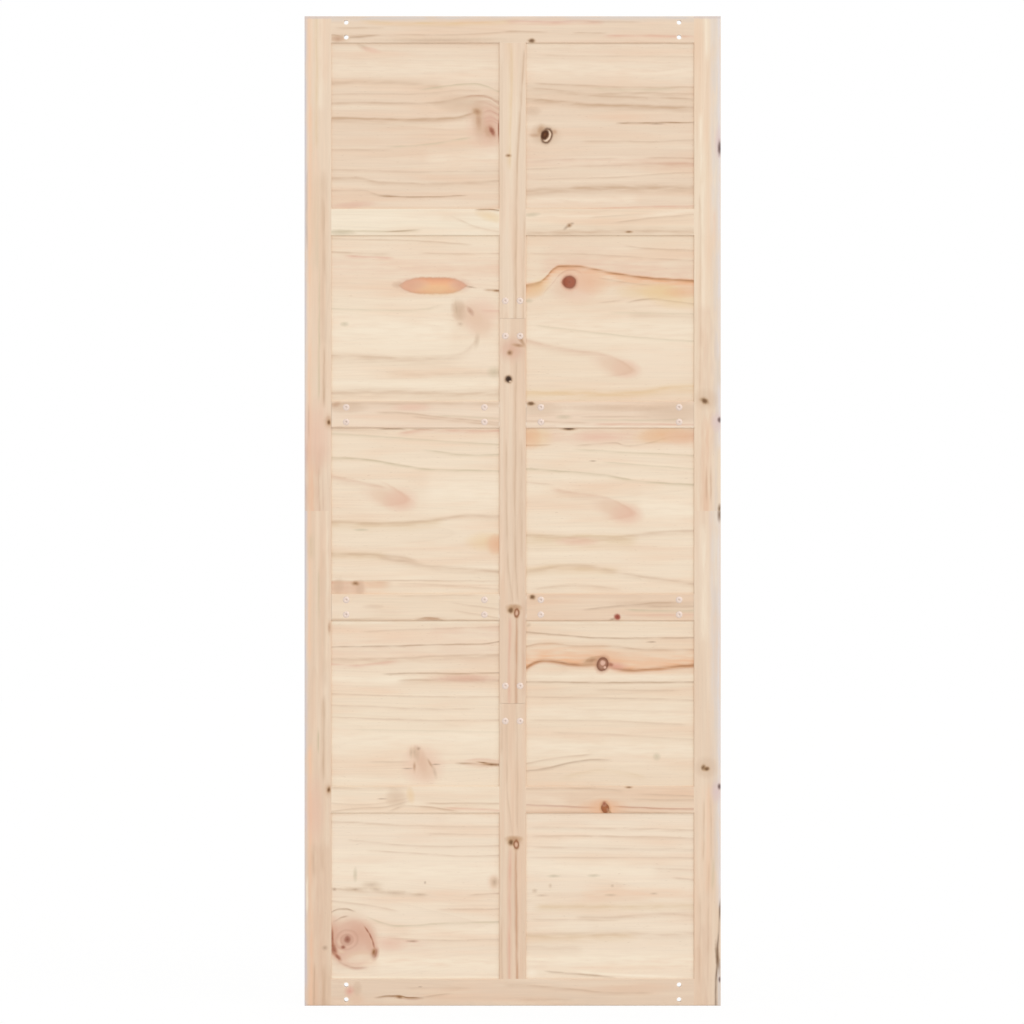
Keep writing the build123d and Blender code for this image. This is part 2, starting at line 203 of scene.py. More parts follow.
# their colours from the heart outwards; the visible rim is at two thirds
knotLooks = {
    "blush": [(0, "#E6BBA4", 0.6), (0.5, "#E6BBA4", 0.4), (1, "#E6BBA4", 0)],
    "rosePatch": [(0, "#D6A68E", 0.7), (0.45, "#DAAF98", 0.55), (0.7, "#DDB7A0", 0.28), (1, "#DDB7A0", 0)],
    "brownPatch": [(0, "#BF9678", 0.8), (0.4, "#C9A283", 0.6), (0.7, "#D6B596", 0.25), (1, "#D6B596", 0)],
    "redSmall": [(0, "#8A4832", 0.9), (0.35, "#A86850", 0.8), (0.6, "#CB9A84", 0.4), (1, "#E0B8A0", 0)],
    "moss": [(0, "#C6B99C", 0.6), (0.5, "#C6B99C", 0.35), (1, "#C6B99C", 0)],
    "pinkStreak": [(0, "#DDB09A", 0.6), (0.6, "#DDB09A", 0.35), (1, "#DDB09A", 0)],
    "eyeRing": [(0, "#5A3818", 0.9), (0.24, "#8A6648", 0.9), (0.32, "#E0C4AA", 0.95),
                (0.43, "#ECD4BC", 0.95), (0.5, "#A88464", 0.95), (0.57, "#5E3A22", 0.93),
                (0.66, "#80604A", 0.7), (0.78, "#C8A88A", 0.3), (0.95, "#D9BD9E", 0)],
    "eyeCore": [(0, "#6E4420", 1), (0.22, "#5A3010", 1), (0.5, "#4A2608", 1), (0.68, "#6E4828", 0.75),
                (0.85, "#C9AB8E", 0)],
    "speck": [(0, "#94725A", 0.6), (0.4, "#AE8F76", 0.35), (0.8, "#C0A288", 0)],
    "honey": [(0, "#E8C898", 0.55), (0.6, "#E8C898", 0.3), (1, "#E8C898", 0)],
    "brownSmall": [(0, "#80552E", 0.9), (0.3, "#9A7048", 0.7), (0.6, "#BE946C", 0.35), (0.9, "#D2B294", 0)],
    "amber": [(0, "#EFBB8F", 1), (0.3, "#EBB088", 1), (0.48, "#E4A480", 1), (0.6, "#D69E7C", 0.95),
              (0.67, "#DAB092", 0.5), (0.76, "#E2C0A0", 0)],
    "red": [(0, "#8A4630", 0.97), (0.14, "#A05A42", 0.97), (0.36, "#A0563C", 0.97), (0.54, "#8D4A32", 0.9),
            (0.66, "#BE8468", 0.5), (0.8, "#E2AC90", 0.35), (1, "#E2B49C", 0)],
    "amberSoft": [(0, "#E6B48E", 0.6), (0.6, "#E6B48E", 0.35), (1, "#E6B48E", 0)],
    "tongue": [(0, "#E4C6AC", 0.5), (0.3, "#E3C3A9", 0.75), (0.5, "#E0BDA2", 0.9), (0.6, "#E2C2A8", 0.65),
               (0.68, "#E8CEB4", 0.25), (0.76, "#E8CEB4", 0)],
    "shade": [(0, "#CDAE92", 0.5), (0.6, "#CDAE92", 0.3), (1, "#CDAE92", 0)],
    "dark": [(0, "#684522", 0.95), (0.3, "#7E5A36", 0.88), (0.5, "#A58058", 0.6), (0.68, "#C8A480", 0.28),
             (0.95, "#D9B999", 0)],
    "redDark": [(0, "#8A2A1A", 0.97), (0.4, "#9E4632", 0.9), (0.6, "#C07E66", 0.55), (0.85, "#DDB8A0", 0)],
    "ringed": [(0, "#DDB698", 0.85), (0.2, "#D6AC90", 0.85), (0.36, "#A06A4A", 0.9), (0.5, "#94603E", 0.9),
               (0.6, "#B08460", 0.6), (0.75, "#D2AC8A", 0.25), (0.95, "#DDBFA2", 0)],
    "great": [(0, "#DCB09A", 0.6), (0.4, "#DEB49E", 0.58), (0.6, "#DFB8A0", 0.52), (0.67, "#E2C2A8", 0.2),
              (0.76, "#E2C2A8", 0)],
    "eyeSmall": [(0, "#8E5844", 0.95), (0.35, "#A8705C", 0.85), (0.6, "#C99C86", 0.5), (0.9, "#D9AE98", 0)],
    "pinkSpot": [(0, "#DC9C8C", 0.8), (0.5, "#DFAC98", 0.5), (1, "#E2B8A2", 0)],
    "edge": [(0, "#6E5034", 0.9), (0.5, "#8A6C50", 0.6), (1, "#A88C76", 0)],
    "ringRed": [(0, "#A47258", 0.9), (0.3, "#AA7C64", 0.92), (0.44, "#926048", 0.95), (0.57, "#7A4830", 0.92),
                (0.68, "#B88468", 0.5), (1, "#E6A888", 0)],
    "orange": [(0, "#A8663C", 0.97), (0.35, "#9E5A34", 0.97), (0.52, "#8C4E28", 0.92), (0.64, "#C08658", 0.5),
               (0.85, "#E4AC80", 0.35), (1, "#E6B48A", 0)],
    "swirl": [(0, "#B88876", 0.5), (0.14, "#D2A894", 0.4), (0.28, "#C0907C", 0.5), (0.36, "#DDB49E", 0.3),
              (0.5, "#C89A86", 0.45), (0.6, "#DEB8A2", 0.2), (0.8, "#DDB8A2", 0)],
    "crescent": [(0, "#94543C", 0.9), (0.35, "#AA6E54", 0.8), (0.6, "#C8957A", 0.4), (0.9, "#DDB8A0", 0)],
    "black": [(0, "#2A1404", 1), (0.35, "#3E2410", 0.97), (0.52, "#75502E", 0.7), (0.68, "#B8916C", 0.3),
              (0.9, "#D9B999", 0)],
    "chip": [(0, "#E8CDB4", 0.9), (0.5, "#E4C6AA", 0.6), (0.9, "#E4C6AA", 0)],
    "rosyBrown": [(0, "#E0BCA2", 0.8), (0.45, "#E2C0A6", 0.7), (0.65, "#E4C5AB", 0.4), (0.85, "#E5C8B0", 0)],
    "blushTan": [(0, "#E4C4AA", 0.8), (0.45, "#E5C6AC", 0.65), (0.7, "#E8CAB2", 0.3), (0.95, "#E8CCB4", 0)],
    "faint": [(0, "#C4A88E", 0.6), (0.45, "#D0B69A", 0.35), (0.9, "#D8C0A4", 0)],
    "heart": [(0, "#E2BCA6", 1), (0.5, "#DCB09A", 0.9), (0.66, "#B08068", 0.5), (0.85, "#A8705A", 0)],
    "cap": [(0, "#A87A56", 0.75), (0.45, "#B88E6A", 0.55), (0.75, "#CDA884", 0.25), (1, "#D2B294", 0)],
    "knotPale": [(0, "#B88C74", 0.75), (0.5, "#C8A088", 0.5), (0.9, "#DDBBA2", 0)],
    "paleSpot": [(0, "#FAEDDA", 0.9), (0.55, "#F8E9D4", 0.6), (0.9, "#F6E6D0", 0)],
    "milky": [(0, "#F3E2CC", 0.5), (0.6, "#F3E2CC", 0.35), (1, "#F3E2CC", 0)],
    # painted light round the open holes
    "bored": [(0, "#F8E9D6", 0.75), (0.68, "#F6E4CE", 0.55), (1, "#F0DCC4", 0)],
    "lilacEnd": [(0, "#D2C6C4", 0.8), (0.5, "#D2C6C4", 0.55), (0.8, "#D2C6C4", 0)],
    "grape": [(0, "#5E4A48", 0.95), (0.45, "#7A625E", 0.8), (0.8, "#B8A09A", 0.3), (1, "#C8B0A8", 0)],
    "grapeHalo": [(0, "#DCC4C2", 0.8), (0.5, "#DCC4C2", 0.5), (1, "#DCC4C2", 0)],
}


# bends the grain round the knots that have a bend
def bendGrain(add, flow, fromMiddle, knots, upright):
    pullAcross, pullAlong = knotDrawing["pullAcross"], knotDrawing["pullAlong"]
    stretch = (pullAcross, pullAlong) if upright else (pullAlong, pullAcross)
    for look, at, size, tilt, bend in knots:
        if not bend:
            continue
        reach = (size[0] * stretch[0], knotDrawing["throughBoard"], size[1] * stretch[1])
        spot = add("Mapping", {"Vector": fromMiddle, "Location": (at[0], 0, at[1]), "Scale": reach},
                   vector_type="TEXTURE")
        away = add("VectorMath", {0: spot}, operation="LENGTH").outputs["Value"]
        pull = add("MapRange", {"Value": away, "From Min": knotDrawing["pullFrom"],
                                "From Max": knotDrawing["pullTo"], "To Min": bend * knotDrawing["pull"],
                                "To Max": 0}, interpolation_type="SMOOTHERSTEP")
        offset = add("Math", {0: flow, 1: at[0] if upright else at[1]}, operation="SUBTRACT")
        bent = add("Math", {0: offset, 1: pull}, operation="MULTIPLY")
        flow = add("Math", {0: flow, 1: bent}, operation="SUBTRACT")
    return flow


# draws one knot or patch over the colour, with an uneven rim
def knotOver(add, colour, knot, fromMiddle, rim):
    look, at, size, tilt, bend = knot
    reach = (size[0], knotDrawing["throughBoard"], size[1])
    spot = add("Mapping", {"Vector": fromMiddle, "Location": (at[0], 0, at[1]), "Scale": reach,
                           "Rotation": (0, radians(-tilt), 0)}, vector_type="TEXTURE")
    shape = knotDrawing["shapes"].get(look)
    if shape:
        u, _, v = add("SeparateXYZ", {0: spot}).outputs
        offAxis = add("Math", {0: v}, operation="ABSOLUTE")
    if shape == "lens":                  # blunt at both ends
        lengthways = add("Math", {0: u}, operation="ABSOLUTE")
        power = add("Math", {0: lengthways, 1: knotDrawing["lensPower"]}, operation="POWER")
        away = add("Math", {0: power, 1: offAxis}, operation="ADD")
    elif shape == "tongue":              # a parabola that opens to the left of its tip
        power = add("Math", {0: offAxis, 1: knotDrawing["tonguePower"]}, operation="POWER")
        away = add("Math", {0: power, 1: add("Math", {0: u, 1: 1}, operation="ADD")}, operation="ADD")
    else:
        away = add("VectorMath", {0: spot}, operation="LENGTH").outputs["Value"]
    calm = min(1, knotDrawing["rimSize"] / min(size))
    away = add("Math", {0: rim, 1: calm, 2: away}, operation="MULTIPLY_ADD")
    away = add("Math", {0: away, 1: 1 / knotDrawing["reach"]}, operation="MULTIPLY")
    heart, *between, edge = knotLooks[look]
    stain = add("ValToRGB", {0: away}, stops=[heart, edge, *between])
    share = stain.outputs[1]
    if shape == "tongue":
        none, full = knotDrawing["tongueFade"]
        fade = add("MapRange", {"Value": u, "From Min": none, "From Max": full},
                   interpolation_type="SMOOTHSTEP")
        share = add("Math", {0: share, 1: fade}, operation="MULTIPLY")
    return add("Mix", {0: share, 6: colour, 7: stain.outputs[0]}, data_type="RGBA").outputs[2]


# growth rings round the heart of the log, closer or wider from year to year; gives how late in the year it is
def growthRings(add, name, heart, seed, along, depth, flow):
    heartAcross, heartDepth = heart
    ringGap = pine["ringGap"]["panel" if name.startswith("panel") else "frame"]
    swellRadius, swellYears = pine["swell"]
    cut = add("CombineXYZ", {0: 0, 1: depth, 2: flow})
    fromHeart = add("Mapping", {"Vector": cut, "Location": (0, -heartDepth, -heartAcross)})
    radius = add("VectorMath", {0: fromHeart}, operation="LENGTH").outputs["Value"]
    radius = add("Math", {0: along, 1: pine["taper"], 2: radius}, operation="MULTIPLY_ADD")
    years = add("Math", {0: radius, 1: 1 / ringGap}, operation="MULTIPLY")
    swell = add("Math", {0: radius, 1: 1 / swellRadius, 2: seed}, operation="MULTIPLY_ADD")
    swell = add("TexNoise", {"W": swell, "Scale": 1, "Detail": 1}, noise_dimensions="1D").outputs[0]
    years = add("Math", {0: swell, 1: swellYears, 2: years}, operation="MULTIPLY_ADD")
    year = add("Math", {0: years}, operation="FLOOR")
    yearStrength = add("TexWhiteNoise", {"W": year}, noise_dimensions="1D").outputs[0]
    season = add("ValToRGB", {0: add("Math", {0: years}, operation="FRACT")}, stops=pine["season"])
    return add("Math", {0: season, 1: yearStrength}, operation="MULTIPLY")


# every board: its tone, the heart of its log, its single lines (most of them grain, a few painted highlights
# and painted shade along edges), and its knots and patches
# the heart is given in mm across the grain and mm behind the board's middle
# lines are (tone, strength, how far they fade below or (above, below), then points)
# and knots (look, place, half size, tilt in degrees, bend), where the last two may be left out,
# all in mm to the right of and above the middle of the board's front face
boards = {
    "panel_1_left": {"tone": "tan", "heart": (-32, 209), "lines": [
        ("pale", 0.35, (36, 40), (-180, 130), (180, 124)),
        ("late", 0.5, (9, 8), (-180, 93), (-60, 94), (60, 86)),
        ("moss", 0.7, 3, (12, 79), (90, 90), (127, 92), (154, 87), (179, 76)),
        ("late", 0.4, 3, (-180, 68), (39, 72), (100, 78), (140, 77)),
        ("late", 0.65, 5, (-180, 50), (0, 50), (54, 52), (118, 65), (145, 66), (179, 53)),
        ("rose", 0.35, 3, (100, 60), (125, 66), (150, 64), (179, 50)),
        ("rose", 0.3, 3, (128, 52), (150, 51), (179, 38)),
        ("rose", 0.2, 2, (135, 40), (158, 37), (179, 25)),
        ("late", 1.0, 8, (-180, 18), (-67, 15), (84, 18), (115, 25), (136, 34)),
        ("late", 0.1, (4, 60), (-180, 12), (60, 12)),
        ("moss", 0.5, 4, (-60, -44), (9, -41), (66, -33), (127, -22)),
        ("late", 0.4, 4, (-180, -50), (-52, -51)),
        ("pale", 0.4, (18, 22), (20, -70), (180, -66)),
        ("late", 0.35, 5, (-180, -94), (24, -99), (179, -96)),
        ("late", 0.55, 7, (-180, -112), (-122, -113), (-79, -122), (54, -124), (179, -118)),
        ("late", 0.45, 4, (-180, -139), (-116, -139), (-79, -149), (-37, -151)),
        ("dark", 0.6, 2, (-79, -151), (20, -153), (110, -150)),
        ("pale", 0.7, (1, 1), (138, 58), (158, 57), (179, 44)),
        ("pale", 0.7, (1, 1), (143, 45), (160, 43), (179, 31)),
        ("rose", 0.8, 2.5, (146, 29), (158, 33), (179, 25)),
        ("rose", 0.7, 2.5, (149, 17), (161, 20), (179, 12)),
        ("pale", 0.9, (1, 1.5), (146, 23), (160, 26), (179, 18)),
        ("rose", 0.5, 2, (151, 9), (163, 12), (179, 5)),
    ], "knots": [
        ("shade", (100, 48), (46, 15)), ("shade", (158, 34), (34, 24)), ("blush", (155, 2), (34, 44)),
        ("rosePatch", (160, -2), (20, 30)), ("shade", (137, 8), (12, 34), 4),
        ("brownPatch", (137, 12), (8, 24), 4), ("cap", (134, 31), (11, 7), -20),
        ("brownPatch", (160, -12), (12, 16), 20), ("redSmall", (166, -11), (7, 15), 25),
        ("crescent", (180, -8), (2, 24)), ("faint", (-112, 171), (15, 5), -22),
        ("blush", (-98, 165), (18, 5), -12), ("pinkStreak", (-134, -171), (39, 6), 4),
    ]},
    "panel_1_right": {"tone": "tan", "heart": (49, 238), "lines": [
        ("pale", 0.4, (35, 40), (-180, 125), (180, 120)),
        ("late", 0.35, 4, (-150, 153), (181, 150)),
        ("late", 0.25, (26, 30), (-180, 78), (0, 66), (181, 58)),
        ("late", 0.55, 4, (-163, 93), (-15, 86), (46, 84), (181, 84)),
        ("moss", 0.4, 6, (-40, 82), (60, 80), (140, 82)),
        ("late", 0.55, 4, (-175, 84), (-15, 70), (46, 72), (181, 69)),
        ("late", 0.6, 4, (-94, 71), (-15, 65), (181, 59)),
        ("late", 1.0, 8, (-178, 59), (-106, 53), (-33, 48), (46, 44), (181, 40)),
        ("dark", 0.7, 2, (16, 6), (181, 9)),
        ("late", 0.45, 4, (-60, -32), (107, -33), (181, -30)),
        ("late", 0.35, 3, (-166, -75), (16, -69)),
        ("late", 0.4, 4, (-178, -93), (-106, -89), (-45, -86), (181, -81)),
        ("late", 0.6, 3, (76, -69), (181, -69)),
        ("umber", 0.4, 12, (66, -82), (181, -80)),
        ("late", 0.4, 3, (-166, -115), (31, -109), (122, -103), (181, -101)),
        ("late", 0.8, (7, 13), (-178, -144), (-115, -137), (-45, -132), (46, -132), (181, -134)),
        ("pale", 0.45, (10, 16), (-178, -160), (60, -158)),
        ("pink", 0.6, 3, (-70, -180), (31, -176), (181, -173)),
        ("pink", 0.22, (14, 14), (-180, -76), (181, -78)),
        # painted light along the top edge, lightening the shade under the rail
        ("pale", 0.3, (2, 12), (-182, 176), (182, 176)),
    ], "knots": [
        ("shade", (-168, 32), (16, 8)), ("shade", (-138, -20), (26, 18)),
        ("brownPatch", (-160, -20), (15, 4.5)), ("shade", (-151, -14), (15, 16)),
        ("cap", (-148, -10), (9, 11)), ("brownPatch", (-121, -13), (8, 6)),
        ("eyeRing", (-137, -21), (12.5, 17.5), -14, 0.8), ("eyeCore", (-141, -19), (7.5, 11.5), -26),
        ("speck", (101, 5), (20, 3)), ("blush", (-169, -200), (21, 9)),
    ]},
    "rail_1_left": {"tone": "cream", "heart": (-26, 109), "lines": [
        ("moss", 0.55, 5, (-180, -20), (-104, -20), (12, -16)),
        ("dark", 0.45, 2, (-67, -21), (5, -16)),
        ("late", 0.35, 4, (78, 12), (142, -13), (179, -19)),
        ("pale", 0.6, (8, 8), (-180, 8), (60, 8)),
        ("dark", 1.0, 3, (132, 27), (158, 28), (179, 26)),
    ], "knots": [
        ("moss", (-161, -22), (24, 6)), ("honey", (163, 12), (27, 9), -15),
    ]},
    "rail_1_right": {"tone": "straw", "heart": (32, 122), "lines": [
        ("late", 0.55, 3, (10, 0), (122, 13), (181, 18)),
        ("pale", 0.4, (6, 7), (-180, 12), (60, 14), (181, 26)),
        ("late", 0.35, 3, (-45, 9), (76, 18)),
        ("late", 0.6, (9, 6), (-178, -25), (34, -21), (181, -22)),
    ], "knots": [
        ("moss", (-169, 16), (15, 4), 6), ("brownSmall", (-88, -7), (6, 5), 20, 0.6),
        ("speck", (-95, -12), (8, 4), 40), ("speck", (-82, -3), (5, 3)), ("brownSmall", (41, -21), (9, 3)),
    ]},
    "panel_2_left": {"tone": "pale", "heart": (-40, 205), "lines": [
        ("pink", 0.24, (45, 50), (-180, 112), (180, 106)),
        ("late", 0.45, 3, (-180, 174), (24, 167), (121, 161)),
        ("late", 0.6, 4, (-180, 145), (-128, 142), (-55, 141)),
        ("pink", 0.7, 5, (-152, 136), (-49, 132)),
        ("late", 0.4, 3, (9, 142), (60, 140), (179, 141)),
        ("pale", 0.6, (50, 60), (-180, -20), (80, -25)),
        ("moss", 0.35, 4, (-180, 21), (-37, 18), (24, 21), (57, 30)),
        ("late", 0.9, (2, 4), (150, 61), (179, 60)),
        ("pink", 0.5, 4, (139, 17), (179, 18)),
        ("late", 0.5, (5, 14), (-180, -80), (-79, -84), (24, -87), (72, -85), (109, -72), (130, -50)),
        ("late", 0.3, (5, 8), (-60, -119), (60, -120), (179, -116)),
        ("pale", 0.5, (10, 14), (-180, -137), (40, -143), (179, -140)),
        ("late", 0.5, (8, 12), (-180, -162), (-60, -158), (60, -163), (179, -160)),
    ], "knots": [
        ("amber", (38, 71), (74, 18.5), 0, 0.5), ("rosePatch", (-8, 72), (30, 13)),
        ("rosePatch", (96, 72), (20, 12)), ("honey", (48, 60), (40, 9)), ("shade", (-38, 73), (10, 6)),
        ("speck", (120, 68), (14, 2.5), -8), ("blush", (145, 14), (34, 26)),
        ("blushTan", (118, 6), (34, 28), -40, 0.3), ("blushTan", (142, -14), (26, 24), -40),
        ("shade", (94, 18), (13, 20), 12), ("shade", (93, 24), (12, 10)), ("shade", (97, 8), (12, 10)),
        ("blushTan", (128, 2), (24, 18), -30), ("knotPale", (119, 16), (12, 5.5), -52),
        ("faint", (97, -12), (7, 5)), ("moss", (-153, -12), (8, 4.5)), ("faint", (133, -48), (6, 18), -10),
        ("moss", (170, -116), (12, 10), 0, 0.3), ("milky", (140, -82), (60, 20)),
        ("brownSmall", (176, 60), (9, 3)), ("faint", (89, 20), (3.5, 16), 8),
    ]},
    "panel_2_right": {"tone": "straw", "heart": (57, 234), "lines": [
        ("pink", 0.4, (60, 4), (-150, 96), (-106, 112), (-45, 109), (16, 97), (181, 81)),
        ("late", 0.5, 4, (34, 157), (76, 152), (181, 148)),
        ("late", 0.4, 3, (-175, 141), (-75, 140), (122, 129), (181, 127)),
        ("amber", 0.85, (3, 26), (-180, 72), (-154, 78), (-136, 92), (-122, 107), (-106, 113), (-75, 113),
            (-45, 109), (16, 97), (76, 89), (181, 81)),
        ("burnt", 0.45, (3, 6), (-180, 71), (-154, 77), (-136, 91), (-122, 106), (-106, 112), (-75, 112)),
        ("burnt", 0.15, (2, 4), (-60, 111), (-45, 108), (16, 96), (76, 88), (181, 80)),
        ("resin", 0.7, (2, 9), (-184, 70), (-160, 76), (-150, 80)),
        ("resin", 0.78, (1.5, 3), (-180, 72), (-154, 78), (-136, 92), (-122, 107), (-106, 113),
            (-75, 113), (-45, 109), (16, 97), (76, 89), (181, 81)),
        ("rose", 0.35, 3, (-146, 40), (-142, 56), (-125, 76), (-108, 96), (-84, 105), (-62, 98), (-57, 82)),
        ("late", 0.5, 3, (-27, 88), (58, 75), (95, 74)),
        ("dark", 0.4, 3, (37, 35), (95, 43), (137, 38), (181, 32)),
        ("late", 0.45, 3, (-24, 35), (28, 39)),
        ("moss", 0.4, 4, (0, 14), (181, 10)),
        ("pale", 0.45, (60, 70), (-180, -20), (181, -30)),
        ("moss", 0.4, 4, (-163, -14), (-100, -22), (46, -39), (181, -48)),
        ("umber", 0.35, (4, 12), (-180, -47), (-106, -64), (-15, -79), (13, -89), (40, -101), (57, -113)),
        ("honey", 0.7, (7, 12), (-180, -160), (0, -162), (76, -157), (131, -150), (181, -149)),
        ("late", 0.28, (8, 10), (40, 8), (182, 2)),
    ], "knots": [
        ("blush", (-66, 74), (34, 30)), ("blushTan", (-96, 68), (32, 24)),
        ("amberSoft", (-44, 78), (34, 20), -14), ("red", (-97, 79), (8, 9)),
        ("red", (-87.5, 78.5), (16, 15.5), 0, 0.6), ("honey", (150, 38), (46, 14)),
        ("honey", (80, 58), (52, 14)), ("honey", (110, 58), (36, 14)), ("honey", (124, 56), (40, 14)),
        ("amberSoft", (160, 57), (34, 10)), ("amberSoft", (-170, 62), (22, 14), 10),
        ("honey", (-158, 66), (26, 14), 30), ("milky", (110, -94), (90, 34)),
        ("blushTan", (14, -103), (46, 18), -16), ("blush", (34, -110), (24, 16)),
        ("tongue", (57, -114), (40, 19), -10), ("moss", (-177, 38), (9, 4)),
    ]},
    "rail_2_left": {"tone": "flax", "heart": (-20, 101), "lines": [
        ("late", 0.6, 4, (-86, 6), (-19, 4), (39, -4), (179, -18)),
        ("late", 0.55, 3, (-7, -4), (84, -14), (179, -22)),
        ("moss", 0.4, 3, (48, -2), (179, -8)),
        ("late", 0.5, (6, 6), (-180, 24), (180, 24)),
        ("dark", 0.35, 2, (-170, -27), (-60, -27)),
    ], "knots": [
        ("brownPatch", (-172, 22), (13, 6), 12), ("blush", (-7, 16), (33, 8)),
        ("shade", (-150, 15), (36, 9)), ("milky", (-120, -18), (76, 9)),
    ]},
    "rail_2_right": {"tone": "flax", "heart": (26, 114), "lines": [
        ("late", 0.45, 3, (-63, -4), (89, -4)),
        ("moss", 0.5, 3, (-63, -11), (107, -11), (161, -8)),
        ("pale", 0.5, 4, (-120, -25), (181, -25)),
        ("pink", 0.6, 3, (-33, -20), (101, -20), (181, -21)),
        ("late", 0.4, 3, (-178, -14), (-45, -18)),
    ], "knots": [
        ("shade", (140, 7), (62, 18)), ("shade", (-156, 12), (44, 12)), ("shade", (10, 14), (90, 6)),
        ("dark", (-171, 24), (10, 5.5), 0, 0.5), ("moss", (-100, -5), (15, 4)),
    ]},
    "panel_3_left": {"tone": "pale", "heart": (-48, 201), "lines": [
        ("dark", 0.6, 2, (-79, 177), (-37, 178), (-19, 176)),
        ("dark", 0.4, 2, (-7, 177), (42, 177)),
        ("late", 0.3, 4, (-180, 176), (-98, 174), (-61, 171)),
        ("pink", 0.7, 7, (-37, 169), (24, 176), (179, 175)),
        ("moss", 0.45, 4, (-180, 168), (12, 155), (97, 149), (179, 145)),
        ("moss", 0.55, 4, (18, 131), (133, 121), (179, 122)),
        ("moss", 0.75, 4, (-180, 116), (-128, 114), (-31, 99), (9, 93), (90, 89), (179, 86)),
        ("pale", 0.5, (40, 60), (20, 50), (180, 40)),
        ("umber", 0.35, (3, 12), (-180, 77), (-116, 62), (-79, 54), (-56, 46)),
        ("straw", 0.55, (6, 14), (-180, -26), (-30, -28), (60, -20)),
        ("late", 0.5, (3, 8), (-180, -23), (-67, -26), (-19, -25), (24, -21), (72, -15), (115, -10),
            (179, -12)),
        ("straw", 0.5, (8, 12), (-180, -92), (-60, -97)),
        ("late", 0.5, (4, 8), (-180, -91), (-98, -94), (-37, -100), (2, -107)),
        ("late", 0.55, (4, 9), (-79, -100), (2, -114), (54, -121), (179, -132)),
        ("late", 0.5, 2, (-180, -151), (179, -151)),
        ("late", 0.3, 4, (-37, -158), (54, -160), (179, -169)),
        ("flesh", 0.8, (0.5, 22), (-186, -153), (-58, -154)),
        ("umber", 0.6, (0.5, 20), (-186, -153), (-114, -153)),
        ("late", 0.4, (0.5, 16), (-112, -153), (-52, -155)),
    ], "knots": [
        ("blushTan", (-58, 26), (50, 17), -16), ("tongue", (-8, 22), (44, 22), -12),
        ("blush", (-32, 24), (30, 20)), ("moss", (-118, -41), (14, 2.5)),
        ("honey", (172, -72), (16, 18), 0, 0.3), ("honey", (152, -66), (34, 16)),
        ("blush", (172, -72), (16, 17)), ("amberSoft", (176, -72), (14, 16)),
        ("rosyBrown", (-160, -168), (26, 17)), ("rosyBrown", (-124, -168), (18, 17)),
        ("shade", (-120, -167), (8, 14)), ("shade", (-166, -163), (9, 14), -10),
        ("brownSmall", (-129.5, -157), (9, 5.5)),
    ]},
    "panel_3_right": {"tone": "pale", "heart": (65, 230), "lines": [
        ("pink", 0.4, (14, 26), (-180, 164), (181, 164)),
        ("resin", 0.55, 2, (-180, 142), (-127, 143)),
        ("late", 0.6, 3, (-75, 143), (10, 148), (34, 142), (76, 146), (137, 162), (181, 163)),
        ("moss", 0.5, 4, (-78, 134), (95, 124), (181, 120)),
        ("moss", 0.4, 3, (-15, 106), (64, 100), (181, 92)),
        ("moss", 0.7, 4, (-180, 92), (-136, 89), (-15, 78), (64, 65), (181, 57)),
        ("late", 0.35, 4, (-180, 62), (-124, 57)),
        ("umber", 0.35, (3, 12), (-127, 50), (-87, 40), (-57, 36), (-15, 30), (4, 24)),
        ("pale", 0.5, (40, 40), (60, 10), (181, 0)),
        ("straw", 0.6, (5, 26), (-180, -54), (60, -56)),
        ("late", 0.45, (3, 8), (-180, -52), (-45, -57), (4, -57), (46, -53), (137, -44), (181, -43)),
        ("straw", 0.5, (9, 14), (-180, -130), (-124, -123), (20, -130)),
        ("late", 0.45, (4, 8), (-180, -132), (-124, -123), (-69, -119), (-33, -121), (4, -131),
            (64, -141), (181, -157)),
        ("late", 0.35, 8, (-166, -168), (-69, -160), (22, -169)),
    ], "knots": [
        ("blushTan", (14, 3), (46, 19), -16), ("tongue", (59, -7), (44, 20), -10),
        ("blush", (36, -8), (28, 18)), ("blush", (-69, -66), (39, 8)), ("honey", (-160, 162), (28, 20)),
        ("amberSoft", (-172, 160), (18, 20)), ("honey", (112, 165), (48, 14), 6),
        ("amberSoft", (110, 165), (36, 12), 6), ("blushTan", (162, 162), (34, 12)),
        ("amberSoft", (160, 161), (34, 14), 4), ("dark", (-89, 178), (16, 4.5), 0, 0.3),
        ("blush", (-27, 160), (42, 12)), ("speck", (-37, 108), (9, 2)),
    ]},
    "rail_3_left": {"tone": "straw", "heart": (-14, 93), "lines": [
        ("late", 0.35, 3, (-37, 25), (133, 27)),
        ("late", 0.4, 3, (78, 10), (179, -4)),
        ("late", 0.4, 3, (84, -7), (130, -14), (179, -23)),
        ("pink", 0.15, 4, (-180, -10), (-7, -10)),
        ("late", 0.5, 4, (-180, -26), (0, -27), (179, -26)),
        ("dark", 0.8, 3, (2, -27), (24, -23), (42, -24), (63, -29)),
    ], "knots": [
        ("shade", (-92, 1), (18, 4)), ("brownPatch", (33, -25), (26, 4)), ("milky", (-140, -6), (50, 14)),
    ]},
    "rail_3_right": {"tone": "rosy", "heart": (20, 106), "lines": [
        ("dark", 0.4, 3, (-57, -4), (4, 2), (46, 5), (95, 10), (143, 11)),
        ("late", 0.7, 4, (76, 4), (122, 2), (177, 2)),
        ("moss", 0.7, 4, (34, -4), (107, -6), (181, -7)),
        ("pink", 0.5, 3, (34, -16), (181, -16)),
        ("late", 0.4, 3, (-157, -28), (-75, -32), (22, -25)),
    ], "knots": [
        ("shade", (104, 6), (76, 7)), ("dark", (-168, 22), (8, 6.5), 0, 0.6),
        ("redDark", (16, -21), (7.5, 7.5), 0, 0.8), ("speck", (5, -26), (8, 3), 8),
    ]},
    "panel_4_left": {"tone": "pale", "heart": (-56, 197), "lines": [
        ("pink", 0.2, (50, 44), (-180, 112), (180, 112)),
        ("late", 0.35, 3, (-119, 157), (179, 166)),
